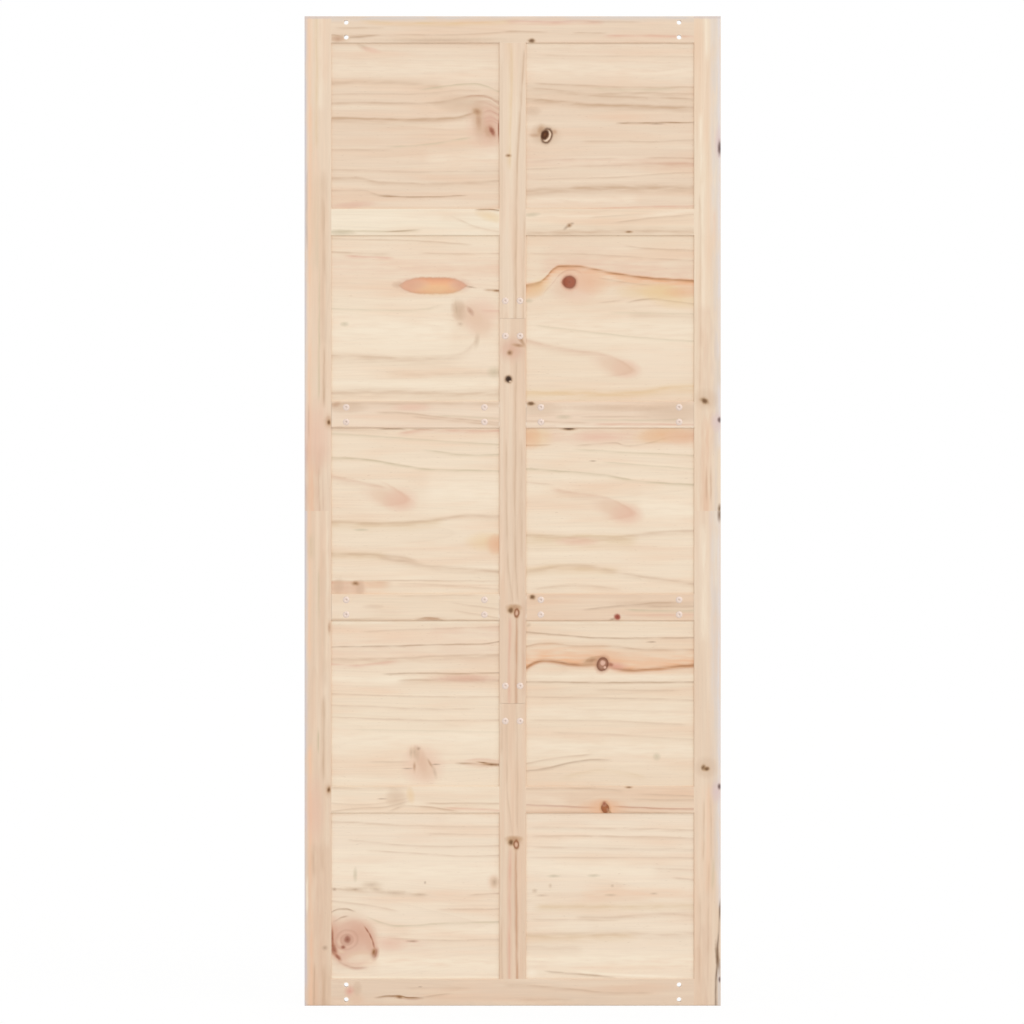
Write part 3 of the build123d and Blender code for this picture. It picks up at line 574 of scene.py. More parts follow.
        ("dark", 0.5, 2, (-183, 122), (-79, 124), (69, 128), (157, 130), (179, 134)),
        ("late", 0.5, (2, 12), (-180, 96), (-79, 98), (84, 103), (179, 106)),
        ("pink", 0.5, 6, (-180, 86), (-146, 83), (-37, 94)),
        ("dark", 0.5, 2.5, (-70, 65), (42, 66), (84, 64), (179, 66)),
        ("pale", 0.6, (10, 12), (-180, 52), (-20, 54)),
        ("late", 0.6, 7, (-37, 50), (69, 52), (179, 49)),
        ("late", 0.4, 3, (-180, 21), (54, 15), (179, 15)),
        ("late", 0.35, 4, (-180, -3), (54, -12), (124, -11)),
        ("late", 0.4, 3, (-180, -29), (24, -36), (179, -35)),
        ("moss", 0.35, 3, (-134, -56), (179, -61)),
        ("pale", 0.5, (30, 40), (-180, -80), (180, -70)),
        ("dark", 0.8, 3, (90, -128), (127, -129), (157, -132), (179, -131)),
        ("pink", 0.5, 4, (109, -122), (142, -120), (179, -124)),
        ("late", 0.4, 4, (-100, -126), (-13, -126)),
        # painted light along the top edge, lightening the shade under the rail
        ("pale", 0.8, (1, 3), (-182, 176), (182, 176)),
        ("pink", 0.25, (12, 18), (30, 158), (182, 160)),
    ], "knots": [
        ("rosePatch", (110, 54), (64, 8)), ("blushTan", (150, -130), (40, 10)),
        ("brownSmall", (166, -132), (24, 3.6), -2), ("brownSmall", (146, -128), (14, 2), -6),
        ("blush", (16, -136), (36, 34), 0, 0.4), ("blushTan", (20, -140), (20, 28), 22),
        ("rosyBrown", (14, -124), (12, 30), 16), ("blushTan", (-3, -106), (13, 14)),
        ("faint", (-9, -107), (4, 12)), ("faint", (-2, -106), (4, 13)), ("shade", (4, -109), (5, 14)),
        ("brownPatch", (-2, -136), (3.5, 12)), ("brownPatch", (32, -130), (3, 11), 30),
        ("faint", (42, -149), (4.5, 14), 16), ("speck", (7, -98), (5, 4.5)),
        ("speck", (-17, -141), (12, 2)), ("speck", (44, -132), (12, 2)),
    ]},
    "panel_4_right": {"tone": "straw", "heart": (73, 226), "lines": [
        ("dark", 0.45, 3, (-180, 154), (-75, 146), (-33, 143), (31, 142), (181, 142)),
        ("late", 0.7, 4, (-180, 124), (-154, 129), (-127, 130), (-75, 124), (-2, 124), (61, 118),
            (181, 116)),
        ("amber", 0.8, (36, 3), (-180, 80), (-136, 95), (-45, 85), (-18, 85), (10, 77), (52, 72),
            (181, 83)),
        ("amber", 0.35, (3, 5), (0, 70), (60, 66), (181, 68)),
        ("burnt", 0.6, (4, 7), (-180, 76), (-166, 86), (-136, 93), (-112, 90), (-90, 85), (-45, 83)),
        ("burnt", 0.55, (4, 6), (0, 78), (10, 75), (52, 71), (92, 74), (181, 82)),
        ("resin", 0.8, (2.5, 4), (-180, 78), (-166, 87), (-136, 94), (-112, 91), (-90, 86), (-45, 84),
            (-18, 85), (10, 76), (52, 72), (92, 75), (181, 83)),
        ("resin", 0.8, 3, (-57, 87), (-45, 97), (-33, 100), (-18, 102)),
        ("pale", 0.5, (10, 12), (-180, 58), (181, 58)),
        ("dark", 0.5, 3, (-180, 48), (-2, 46), (181, 47)),
        ("late", 0.35, 5, (-33, 30), (152, 28)),
        ("late", 0.5, 4, (-180, 14), (61, 11), (181, 7)),
        ("late", 0.4, 4, (-57, -13), (181, -19)),
        ("late", 0.5, 4, (-175, -36), (-15, -37), (167, -45)),
        ("late", 0.35, 4, (-124, -62), (16, -68), (181, -78)),
        ("pale", 0.5, (30, 40), (-180, -90), (181, -100)),
        ("late", 0.5, 4, (-180, -130), (-151, -124), (-39, -109)),
        ("dark", 0.45, 4, (-180, -146), (-136, -141), (-100, -132), (-63, -124), (-33, -121), (0, -122)),
        ("straw", 0.3, 8, (-106, -161), (-57, -149), (-15, -144), (34, -149), (76, -158)),
        # painted light along the top edge, lightening the shade under the rail
        ("pale", 0.6, (1, 3), (-182, 176), (182, 176)),
        ("pale", 0.42, (34, 32), (-180, -20), (181, -24)),
    ], "knots": [
        ("amberSoft", (-18, 94), (44, 16)), ("brownPatch", (-40, 90), (20, 9), 10),
        ("pinkSpot", (12, 81), (24, 8), -6), ("crescent", (0, 84), (10, 5), -8),
        ("cap", (-38, 94), (16, 5), 10), ("ringRed", (-16, 85), (13.5, 16.5), -20, 0.4),
        ("heart", (-15.5, 87.5), (6.5, 7)), ("heart", (-11, 78), (3.5, 3.5)),
        ("moss", (101, -115), (7, 7), 0, 0.3), ("speck", (90, 133), (11, 2.5)),
        ("faint", (-176, 169), (6, 4), 30),
    ]},
    "rail_4_left": {"tone": "pale", "heart": (-8, 85), "lines": [
        ("late", 0.5, 3, (-180, -7), (-122, -10), (-67, -7), (-10, 4)),
        ("late", 0.6, 3, (-180, -24), (-128, -18), (-67, -16), (-49, -13), (-7, -1)),
        ("late", 0.7, 3, (-55, -24), (-19, -14), (12, -14), (93, -25)),
        ("late", 0.6, 3, (24, -7), (179, -8)),
        ("pink", 0.6, 4, (66, -17), (179, -22)),
        ("late", 0.4, (5, 5), (-180, 26), (-10, 26)),
        ("pale", 0.35, (12, 20), (-182, -2), (20, -2)),
    ], "knots": [
        ("speck", (-72, 2), (12, 2)), ("shade", (-42, 3), (18, 17), -20), ("honey", (-10, 10), (7, 14), 10),
    ]},
    "rail_4_right": {"tone": "rosy", "heart": (14, 98), "lines": [
        ("late", 0.6, 4, (-180, 24), (-45, 25), (28, 20)),
        ("late", 0.55, 3, (58, 14), (181, 8)),
        ("late", 0.5, 3, (46, 2), (181, 0)),
        ("rose", 0.6, 2.5, (-180, -10), (-124, -12), (-27, -16)),
        ("late", 0.5, 4, (-180, -24), (-33, -27)),
        ("rose", 0.6, 2.5, (4, -13), (95, -17), (181, -19)),
        ("late", 0.5, 3, (10, -24), (181, -30)),
        ("pale", 0.3, (26, 26), (-182, 0), (-90, 0)),
    ], "knots": [
        ("amberSoft", (-14, -16), (40, 14)), ("amberSoft", (-13, -18), (24, 16)),
        ("orange", (-10.5, -18), (10, 13), 10, 0.8), ("brownSmall", (41, 27), (9, 3)),
        ("crescent", (-12.5, -8), (5, 6)), ("cap", (-1, -26), (3, 7), 40),
    ]},
    "panel_5_left": {"tone": "milk", "heart": (-64, 193), "lines": [
        ("late", 0.4, 5, (-180, 161), (5, 152), (179, 150)),
        ("late", 0.35, 4, (24, 135), (179, 132)),
        ("late", 0.35, 4, (-146, 121), (54, 107), (179, 109)),
        ("late", 0.5, 3, (-104, 98), (24, 91), (115, 86), (179, 88)),
        ("pale", 0.6, (40, 30), (-180, 55), (180, 50)),
        ("late", 0.4, 6, (-180, 16), (-79, 8), (24, 2)),
        ("late", 0.5, 3, (115, 2), (179, 5)),
        ("late", 0.35, 5, (-180, -11), (-104, -20), (-37, -33)),
        ("late", 0.4, 4, (48, -30), (179, -28)),
        ("dark", 0.6, 2, (-182, -35), (-168, -29), (-152, -28), (-132, -33)),
        ("rose", 0.55, (3, 4), (-174, -134), (-160, -145), (-146, -152), (-128, -156), (-104, -155)),
        ("dark", 0.8, 2, (-174, -53), (-163, -47), (-148, -43)),
        ("moss", 0.6, 4, (-104, -45), (-67, -59), (-31, -64), (54, -59), (179, -56)),
        ("late", 0.4, 4, (-60, -92), (54, -95), (179, -94)),
        ("pink", 0.25, (8, 18), (-75, -99), (0, -104), (40, -102)),
        ("pale", 0.75, (14, 40), (-90, -138), (180, -140)),
        # painted highlight along the bottom edge, for the light caught by the rail's bevel below
        ("pale", 1.0, (2, 2), (-182, -176), (180, -176)),
        ("pale", 0.45, (14, 16), (-20, -76), (182, -74)),
        ("pale", 0.4, (10, 26), (60, 172), (182, 172)),
    ], "knots": [
        ("great", (-133, -103), (51, 52), 0, 0.5), ("rosePatch", (-132, -84), (44, 34), -20),
        ("rosePatch", (-168, -100), (20, 44), 10), ("rosePatch", (-174, -92), (10, 40), 4),
        ("rosePatch", (-98, -100), (12, 30), 14), ("chip", (-166, -100), (5, 9), 20),
        ("chip", (-160, -120), (8, 4), -20), ("rosePatch", (-120, -82), (30, 24), -30),
        ("chip", (-120, -131), (26, 11), 6), ("swirl", (-148, -95), (32, 28), 15),
        ("eyeSmall", (-147, -94), (10, 11)), ("eyeSmall", (-156, -111), (6, 5)),
        ("crescent", (-104, -75), (2.6, 13), 34), ("crescent", (-96, -89), (2.6, 13), 24),
        ("crescent", (-90.5, -105), (2.6, 14), 14), ("crescent", (-88, -124), (9, 15), -8),
        ("brownSmall", (-90, -121), (4, 8), -8), ("crescent", (-180, -92), (4.5, 28), 2),
        ("crescent", (-176, -116), (7, 18), 14), ("crescent", (-168, -132), (12, 5), -45),
        ("pinkStreak", (-7, -98), (14, 3)), ("speck", (-7, -98), (13, 2.5)), ("faint", (-94, 24), (22, 8)),
        ("faint", (-84, 14), (16, 6), -10), ("faint", (-44, 7), (30, 6)), ("faint", (10, 3), (18, 4)),
        ("speck", (-175, 14), (5, 4)), ("speck", (-130, 14), (8, 2.5)), ("faint", (-130, 15), (30, 5)),
        ("blushTan", (170, 30), (12, 16)), ("faint", (171, 30), (8, 11)), ("faint", (171, 30), (6, 8)),
        ("speck", (21, 29), (3, 4)), ("moss", (-130, 46), (4, 13)), ("blush", (-56, -104), (30, 14)),
        ("milky", (-118, -136), (24, 8), 6),
    ]},
    "panel_5_right": {"tone": "milk", "heart": (21, 222), "lines": [
        ("late", 0.4, 5, (-175, 149), (181, 144)),
        ("late", 0.5, 4, (-166, 130), (-33, 130), (181, 126)),
        ("late", 0.3, 4, (-166, 106), (181, 101)),
        ("late", 0.45, 3, (-175, 84), (181, 82)),
        ("late", 0.3, 4, (89, 60), (181, 57)),
        ("late", 0.4, 4, (137, 40), (181, 35)),
        ("pale", 0.5, (30, 16), (-180, 60), (100, 50)),
        ("late", 0.1, (14, 50), (-180, 0), (181, -2)),
        ("straw", 0.5, (6, 9), (-165, -24), (181, -22)),
        ("late", 0.35, (3, 6), (-75, -46), (10, -45), (119, -39), (181, -43)),
        ("late", 0.35, 4, (-175, -50), (16, -52)),
        ("straw", 0.5, (4, 14), (-180, -86), (60, -84)),
        ("late", 0.35, (5, 10), (-180, -82), (28, -80), (92, -84), (181, -80)),
        ("pale", 0.75, (20, 36), (-180, -136), (181, -136)),
        ("late", 0.3, (10, 14), (-180, -112), (-60, -114)),
        ("dark", 0.5, 3, (-139, -163), (-57, -170), (10, -176)),
        # a pale line under the dark streak that runs into a painted highlight along the bottom edge, for the
        # light caught by the rail's bevel below
        ("pale", 1.0, (3, 2.5), (-70, -164), (0, -170), (80, -174), (152, -176)),
        ("pale", 0.35, (16, 14), (-182, -70), (-40, -72)),
        ("flesh", 0.3, (14, 20), (-60, 8), (182, 6)),
    ], "knots": [
        ("faint", (-129, 22), (4, 5)), ("faint", (5, 22), (4, 4)), ("moss", (-121, 43), (12, 3)),
        ("moss", (-35, 44), (11, 3)), ("faint", (-163, 11), (6, 5)), ("faint", (-146, 1), (14, 3)),
        ("faint", (1, 2), (14, 3)), ("faint", (95, 5), (9, 2.5)), ("paleSpot", (-171, -167), (14, 9)),
        # painted highlight along the bottom edge, for the light caught by the rail's bevel below
        ("paleSpot", (64, -172), (84, 2.2), -2),
    ]},
    "top_rail": {"tone": "tan", "heart": (-32, 127), "lines": [
        ("late", 0.55, 4, (-384, 4), (-278, 4)),
        ("dark", 0.55, 3, (-387, -11), (-357, -16), (-326, -15), (-290, -12)),
        ("late", 0.45, 3, (-393, -12), (-187, -12), (13, -3)),
        ("honey", 0.9, 6, (-330, 20), (-205, 14), (-35, 17), (13, 22)),
        ("amber", 0.3, 4, (-126, 17), (-35, 17)),
        ("late", 0.5, 3, (-17, -3), (74, -5)),
        ("pink", 0.9, 6, (-17, 19), (81, 17), (129, 19), (196, 17)),
        ("late", 0.5, 3, (126, 18), (275, 16)),
        ("late", 0.8, 3, (132, -6), (202, -7)),
        ("pink", 0.7, 5, (196, -12), (392, -14)),
        ("late", 0.5, (4, 4), (-392, 27), (-150, 27)),
        ("lilac", 0.9, (3, 9), (-400, 27), (400, 27)),
    ], "knots": [
        ("dark", (41, -24), (9, 5.5), 0, 0.5), ("brownPatch", (-378, -20), (20, 8)),
        ("faint", (-150, -23), (150, 6)),
    ]},
    "bottom_rail": {"tone": "sand", "heart": (8, 70), "lines": [
        ("dark", 0.9, 3, (-296, -11), (-266, -7), (-247, -7), (-223, -11), (-196, -11)),
        ("rose", 0.3, 2, (-250, -12), (-215, -15), (-196, -12)),
        ("late", 0.6, 3, (-196, -10), (-132, -2)),
        ("late", 0.3, 4, (-229, 11), (-92, 9)),
        ("late", 0.5, 5, (-17, 16), (32, 15), (105, 9), (214, 0), (302, -1)),
        ("late", 0.4, 4, (8, -14), (129, -15)),
    ], "knots": [
        ("brownSmall", (-245, -10), (9, 4.5), -10, 0.4), ("pinkSpot", (-352, 2), (10, 12)),
        ("blushTan", (-338, -14), (17, 13)), ("shade", (-336, 8), (8, 12)), ("speck", (-200, 12), (6, 2)),
    ]},
    "muntin_upper": {"tone": "tan", "heart": (-14, 83), "lines": [
        ("late", 0.7, 5, (25, 279), (14, 85), (9, -23), (7, -298)),
        ("late", 0.5, 4, (25, -67), (23, -298)),
        ("late", 0.4, 5, (-23, 258), (-23, -298)),
        ("honey", 0.5, 8, (-6, 323), (-1, 258), (-4, 150), (-5, 20)),
        # painted highlight along the left edge, lifting the shade on its arris
        ("pale", 0.2, (4, 4), (-24, 323), (-24, -298)),
    ], "knots": [
        ("brownSmall", (-9, 51), (6.5, 4), 0, 0.4),
    ]},
    "muntin_middle": {"tone": "deep", "heart": (20, 96), "lines": [
        ("late", 0.6, 4, (9, 326), (5, 24), (7, -106), (12, -193)),
        ("late", 0.5, 4, (-14, 153), (-10, -106), (1, -203)),
        ("late", 0.5, 5, (19, 153), (20, -106)),
        ("late", 1.0, (3, 3), (8, -205), (8, -322), (7, -409)),
        ("umber", 0.6, (3, 3), (8, -205), (8, -322), (7, -409)),
        ("pink", 0.7, (3, 3), (-6, -227), (-8, -409)),
        ("rose", 0.4, 2, (12, 378), (15, 368), (22, 361)),
        # painted highlight along the left edge, lifting the shade on its arris
        ("pale", 0.25, (4, 4), (-24, 420), (-24, -150)),
        ("umber", 0.35, (5, 5), (25, -190), (25, -400)),
    ], "knots": [
        ("rosePatch", (-2, 350), (26, 24), 0, 0.3), ("brownSmall", (-6, 342), (7, 7), 0, 0.5),
        ("cap", (12, 358), (13, 4), -8), ("cap", (19, 369), (4, 14), 30),
        ("black", (-9, 285), (9.5, 9.5), 0, 0.8), ("chip", (-5, 280), (3, 2)), ("cap", (3, -209), (15, 6)),
        ("cap", (3, -208), (14, 6)), ("cap", (4, -210), (12, 5)), ("brownPatch", (3, -214), (15, 9)),
        ("dark", (-4, -215), (7.5, 8), 0, 0.6), ("ringed", (9, -221), (7, 12), 0, 0.5),
    ]},
    "muntin_lower": {"tone": "deep", "heart": (-26, 109), "lines": [
        ("late", 0.5, 4, (-12, 265), (-10, 114), (1, 15)),
        ("late", 0.45, 4, (9, 296), (12, 28)),
        ("late", 1.0, (3, 3), (8, 10), (8, -124), (9, -290)),
        ("umber", 0.6, (3, 3), (8, 10), (8, -124), (9, -290)),
        ("pink", 0.8, (3, 4), (-5, -10), (-7, -290)),
        ("late", 0.4, 4, (-23, 265), (-23, -290)),
        # painted highlight along the left edge, lifting the shade on its arris
        ("pale", 0.3, (4, 4), (-24, 200), (-24, -180)),
    ], "knots": [
        ("cap", (3, 8), (16, 6.5)), ("cap", (3, 8), (14, 6)), ("cap", (4, 6), (12, 5)),
        ("brownPatch", (3, 2), (16, 10)), ("dark", (-3.5, 1), (8, 8), 0, 0.6),
        ("ringed", (8, -4), (7, 12.5), 0, 0.5),
    ]},
    "left_stile_upper": {"tone": "tan", "heart": (32, 82), "lines": [
        # painted shade along the rounded outer edge
        ("mist", 0.85, (5, 7), (-27, 540), (-27.5, -540)),
        ("flesh", 0.6, (5, 5), (-18, 540), (-18, -540)),
        ("flesh", 0.5, (3, 3), (-15, 345), (-15, 240)),
        ("wane", 0.25, (1, 1), (-24, 200), (-24, 30)),
        ("moss", 0.3, (10, 10), (-2, 190), (-2, -20)),
        ("late", 0.35, (16, 4), (10, 200), (10, -180)),
        ("late", 0.5, 3, (15, 140), (15, -22)),
        ("moss", 0.7, 3, (4, -7), (4, -120), (4, -170), (3, -200), (3, -300)),
        ("late", 0.9, (3, 4), (13, -180), (13, -260), (13, -310)),
        ("wane", 0.3, (1, 2), (-20, -305), (-20, -385)),
        ("late", 0.5, 3, (2, -440), (4, -530)),
        ("late", 0.4, 3, (11, -450), (12, -530)),
        ("pale", 0.35, (16, 16), (4, 545), (4, 330)),
        ("flesh", 0.7, (8, 8), (-12, -430), (-12, -540)),
        ("straw", 0.5, (4, 4), (-3, 540), (-3, 250)),
        ("umber", 0.32, (30, 30), (0, -390), (0, -545)),
        ("umber", 0.3, (4, 4), (-24, -380), (-24, -540)),
    ], "knots": [
        ("blush", (-4, -372), (30, 60)), ("brownPatch", (23, -342), (9, 15), 0, 0.6),
        ("dark", (23.5, -343), (4.5, 7)), ("lilacEnd", (0, 536), (60, 7)),
    ]},
    "left_stile_lower": {"tone": "deep", "heart": (-8, 95), "lines": [
        # painted shade along the rounded outer edge
        ("mist", 0.85, (5, 7), (-27, 540), (-27.5, -540)),
        ("flesh", 0.6, (5, 5), (-18, 540), (-18, 200)),
        ("moss", 0.5, (8, 8), (-15, 480), (-15, 425)),
        ("late", 0.35, (9, 8), (14, 446), (14, 150)),
        ("moss", 0.5, 3, (3, 403), (3, 295)),
        ("late", 0.9, (3, 5), (13, 129), (13, 40), (13, -51)),
        ("moss", 0.7, 3, (2, 60), (2, 5)),
        ("flesh", 0.8, (5, 5), (-16, 25), (-15, -540)),
        ("pale", 0.9, (2, 2), (-23, -260), (-23, -340)),
        ("late", 0.5, (4, 6), (-8, -190), (-8, -262)),
        ("late", 0.5, (4, 6), (12, -180), (11, -255)),
        ("late", 0.7, 3, (-8, -448), (-8, -540)),
        ("late", 0.6, (20, 5), (11, -452), (11, -540)),
        ("pale", 0.4, (6, 8), (21, 540), (21, 200)),
        ("pale", 0.2, (6, 8), (21, 200), (21, -200)),
        ("umber", 0.22, (28, 28), (0, -190), (0, -545)),
        # painted shade along the rounded outer edge, stronger at the top
        ("mist", 0.4, (4, 3), (-25, 540), (-25, 250)),
    ], "knots": [
        ("blush", (-8, -120), (16, 60)), ("brownPatch", (23, -73), (8, 13), 0, 0.6),
        ("dark", (23.5, -73), (4.5, 7)), ("brownPatch", (24.5, 278), (4, 15)),
        ("speck", (15, -415), (7, 6)),
    ]},
    "right_stile_upper": {"tone": "straw", "heart": (14, 108), "lines": [
        ("haze", 0.85, (6, 6), (25, 540), (26, -400)),
        ("haze", 0.3, (8, 6), (10, 540), (12, 60)),
        ("lilac", 0.5, (8, 9), (16, 540), (19, -540)),
        ("pale", 0.6, (4, 4), (-3, 530), (-3, 440)),
        ("pale", 0.6, (4, 4), (-14, 324), (-14, 183)),
        ("flesh", 0.5, (5, 5), (15, 118), (15, 32)),
        ("pale", 0.4, (8, 8), (-10, 180), (-8, -150)),
        ("late", 0.35, 4, (-16, 150), (-14, -79), (-16, -295)),
        ("moss", 0.4, (5, 5), (26, -200), (26, -265)),
        ("flesh", 0.4, (14, 12), (0, -330), (0, -540)),
        ("late", 0.6, 3, (0, -440), (0, -515)),
        ("late", 0.6, 3, (9, -440), (9, -515)),
        ("umber", 0.24, (26, 28), (-2, -90), (-4, -545)),
    ], "knots": [
        ("shade", (-4, -293), (20, 18), -20, 0.5), ("dark", (-6, -297), (11.5, 7.5), -32, 0.5),
        ("grapeHalo", (21, -342), (11, 18)), ("grape", (26, -338), (4, 6)),
        ("grapeHalo", (24, 262), (7, 30)), ("grape", (26.5, 250), (4.2, 16)),
        ("edge", (26.5, -530), (3.5, 9)), ("lilacEnd", (0, 536), (60, 7)),
    ]},
    "right_stile_lower": {"tone": "tan", "heart": (-20, 121), "lines": [
        ("haze", 0.9, (6, 6), (25, 540), (26, -330)),
        ("haze", 0.4, (8, 6), (10, 540), (12, 100)),
        ("lilac", 0.5, (8, 9), (16, 540), (19, -250)),
        ("pale", 0.5, (10, 10), (-8, 500), (-6, 250)),
        ("flesh", 0.4, (14, 14), (2, -60), (0, -300)),
        ("late", 0.5, 3, (-6, -90), (-8, -230)),
        ("late", 0.5, 3, (9, -90), (8, -230)),
        ("moss", 0.6, (3, 4), (12, -220), (12, -290)),
        ("late", 0.4, 4, (4, -230), (2, -500)),
        ("late", 0.4, 4, (-14, -300), (-16, -500)),
        ("lilac", 1.0, (8, 2), (27, -440), (24, -470), (24, -540)),
        ("wane", 0.8, (2, 2), (28, -310), (25, -375), (22.5, -408), (21, -440), (20, -467), (19, -500),
            (18, -540)),
        ("umber", 0.18, (22, 26), (-4, -360), (-4, -545)),
        ("pale", 0.3, (8, 6), (18, 540), (18, 360)),
    ], "knots": [
        ("shade", (-3, -25), (19, 18), 0, 0.5), ("dark", (-8, -25), (6.5, 7.5), 0, 0.4),
        ("dark", (-1, -28), (7, 6)), ("grapeHalo", (21, -77), (11, 20)), ("grape", (26, -66), (4, 6.5)),
        ("edge", (22, -436), (4, 28), 6), ("grape", (26.5, -483), (2.5, 6)), ("edge", (26, 522), (4, 14)),
    ]},
}

# painted light: a pale glow round the open holes in the top and bottom rails, where the white behind shows
# through
openHoles = {"aside": (-360, 360), "updown": (16, -16), "rim": (5.2, 5.2)}
for rail in ("top_rail", "bottom_rail"):
    boards[rail]["knots"] += [("bored", (x, z), openHoles["rim"]) for x in openHoles["aside"]
                              for z in openHoles["updown"]]


def pineMaterial(name, board, seed):
    material = bpy.data.materials.new("bare pine " + name)
    add = nodesOf(material)
    low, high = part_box(name)
    middle, half = (low + high) / 2, (high - low) * 500       # half its size, in mm
    upright = half.z > half.x
    knots = [(*row, 0, 0)[:5] for row in board["knots"]]

    # mm from the board's middle, then turned so that x runs along the grain and z across it
    place = add("TexCoord").outputs["Object"]
    fromMiddle = add("Mapping", {"Vector": place, "Location": middle, "Scale": (0.001,) * 3},
                     vector_type="TEXTURE")
    rightWay, depth, upWay = add("SeparateXYZ", {0: fromMiddle}).outputs
    along, across = (upWay, rightWay) if upright else (rightWay, upWay)
    grain = add("CombineXYZ", {0: along, 1: depth, 2: across})

    def noise(kind):
        size, shift, detail, roughness = noises[kind]
        alongStep, acrossStep = pine["seedStep"]
        scaled = add("Mapping", {"Vector": grain, "Scale": [1 / mm for mm in size],
                                 "Location": (seed * alongStep + shift, shift, seed * acrossStep)})
        return add("TexNoise", {"Vector": scaled, "Scale": 1, "Detail": detail,
                                "Roughness": roughness}).outputs[0]

    # lays one of the pine's colours over the last, where a value says so
    def overlay(colour, kind, value):
        code, start, full, strength = pine[kind]
        share = add("MapRange", {"Value": value, "From Min": start, "From Max": full, "To Max": strength})
        return add("Mix", {0: share, 6: colour, 7: hexToLinear(code)}, data_type="RGBA").outputs[2]

    # the fibres lean through the thickness, wander a little and give way to the knots that bend them
    lean, wander = pine["lean"], pine["wander"]
    leaning = add("Math", {0: depth, 1: lean, 2: across}, operation="MULTIPLY_ADD")
    atFront = lean * half.y - wander / 2
    drift = add("Math", {0: noise("drift"), 1: wander, 2: atFront}, operation="MULTIPLY_ADD")
    straight = add("Math", {0: leaning, 1: drift}, operation="ADD")
    flow = bendGrain(add, straight, fromMiddle, knots, upright)

    # broad tone, rings, then fibres
    latewood = growthRings(add, name, board["heart"], seed, along, depth, flow)
    colour = overlay(hexToLinear(pine["tones"][board["tone"]]), "flush", noise("flush"))
    colour = overlay(colour, "bleached", noise("bleached"))
    ringShare = add("Math", {0: latewood, 1: pine["ringStrength"]}, operation="MULTIPLY")
    colour = add("Mix", {0: ringShare, 6: colour, 7: hexToLinear(pine["latewood"])},
                 data_type="RGBA").outputs[2]
    fibres = noise("fibres")
    shading = add("Math", {0: noise("streaks"), 1: pine["streakTone"], 2: pine["darkest"]},
                  operation="MULTIPLY_ADD")
    shading = add("Math", {0: fibres, 1: pine["fibreTone"], 2: shading}, operation="MULTIPLY_ADD")
    colour = add("Mix", {0: 1.0, 6: colour, 7: shading}, data_type="RGBA", blend_type="MULTIPLY").outputs[2]
    colour = overlay(colour, "resinDash", noise("dashes"))

    # single lines, grain and a few painted highlights and painted shade, a little shaky
    weakest, strongest, least, most = grainAndLightLines["fading"]
    fading = add("MapRange", {"Value": noise("fading"), "From Min": weakest, "From Max": strongest,
                              "To Min": least, "To Max": most})
    shake = grainAndLightLines["shake"]
    shaken = add("Math", {0: noise("shake"), 1: shake, 2: -shake / 2}, operation="MULTIPLY_ADD")
    linesAt = add("Math", {0: straight, 1: shaken}, operation="ADD")
    halfLength = half.z if upright else half.x
    for row in board["lines"]:
        colour = lineOver(add, colour, row, along, linesAt, fading, upright, halfLength)

    # knots and patches, with an uneven rim
    rimShake = knotDrawing["rimShake"]
    rim = add("Math", {0: noise("rim"), 1: rimShake, 2: -rimShake / 2}, operation="MULTIPLY_ADD")
    for knot in knots:
        colour = knotOver(add, colour, knot, fromMiddle, rim)

    normal = add("NewGeometry").outputs["Normal"]
    endwise = (0, 0, 1) if upright else (1, 0, 0)
    sawn = add("VectorMath", {0: normal, 1: endwise}, operation="DOT_PRODUCT").outputs[1]
    colour = overlay(colour, "endGrain", add("Math", {0: sawn}, operation="ABSOLUTE"))

    thin, thick = pine["fibreRange"]
    smooth, rough = pine["roughness"]
    roughness = add("MapRange", {"Value": fibres, "From Min": thin, "From Max": thick,
                                 "To Min": smooth, "To Max": rough})
    height = add("Math", {0: latewood, 1: pine["ringRelief"], 2: fibres}, operation="MULTIPLY_ADD")
    bump = add("Bump", {"Strength": pine["bump"], "Distance": pine["relief"], "Height": height})
    shader = add("BsdfPrincipled", {"Base Color": colour, "Roughness": roughness, "IOR": pine["ior"],
                                     "Specular IOR Level": pine["specular"], "Normal": bump})
    add("OutputMaterial", {0: shader})
    return material


for seed, (name, board) in enumerate(boards.items(), 1):
    material = pineMaterial(name, board, seed)
    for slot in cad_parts[name].material_slots:
        slot.material = material
print("pine on", len(boards), "boards")


# sawn birch plywood of the loose tongues: thin veneers, every other one across the grain and darker
plywood = {
    "veneer": 1.4,               # mm
    "glueLine": 0.04,            # share of two veneers
    "alongGrain": "#E3CBA6", "acrossGrain": "#C9A67C", "glue": "#7A5A3C",
    "fleck": (0.08, 1, 1.4), "fleckTone": (0.86, 1.1),
    "roughness": 0.7, "bump": 0.3, "relief": 0.0002,
}


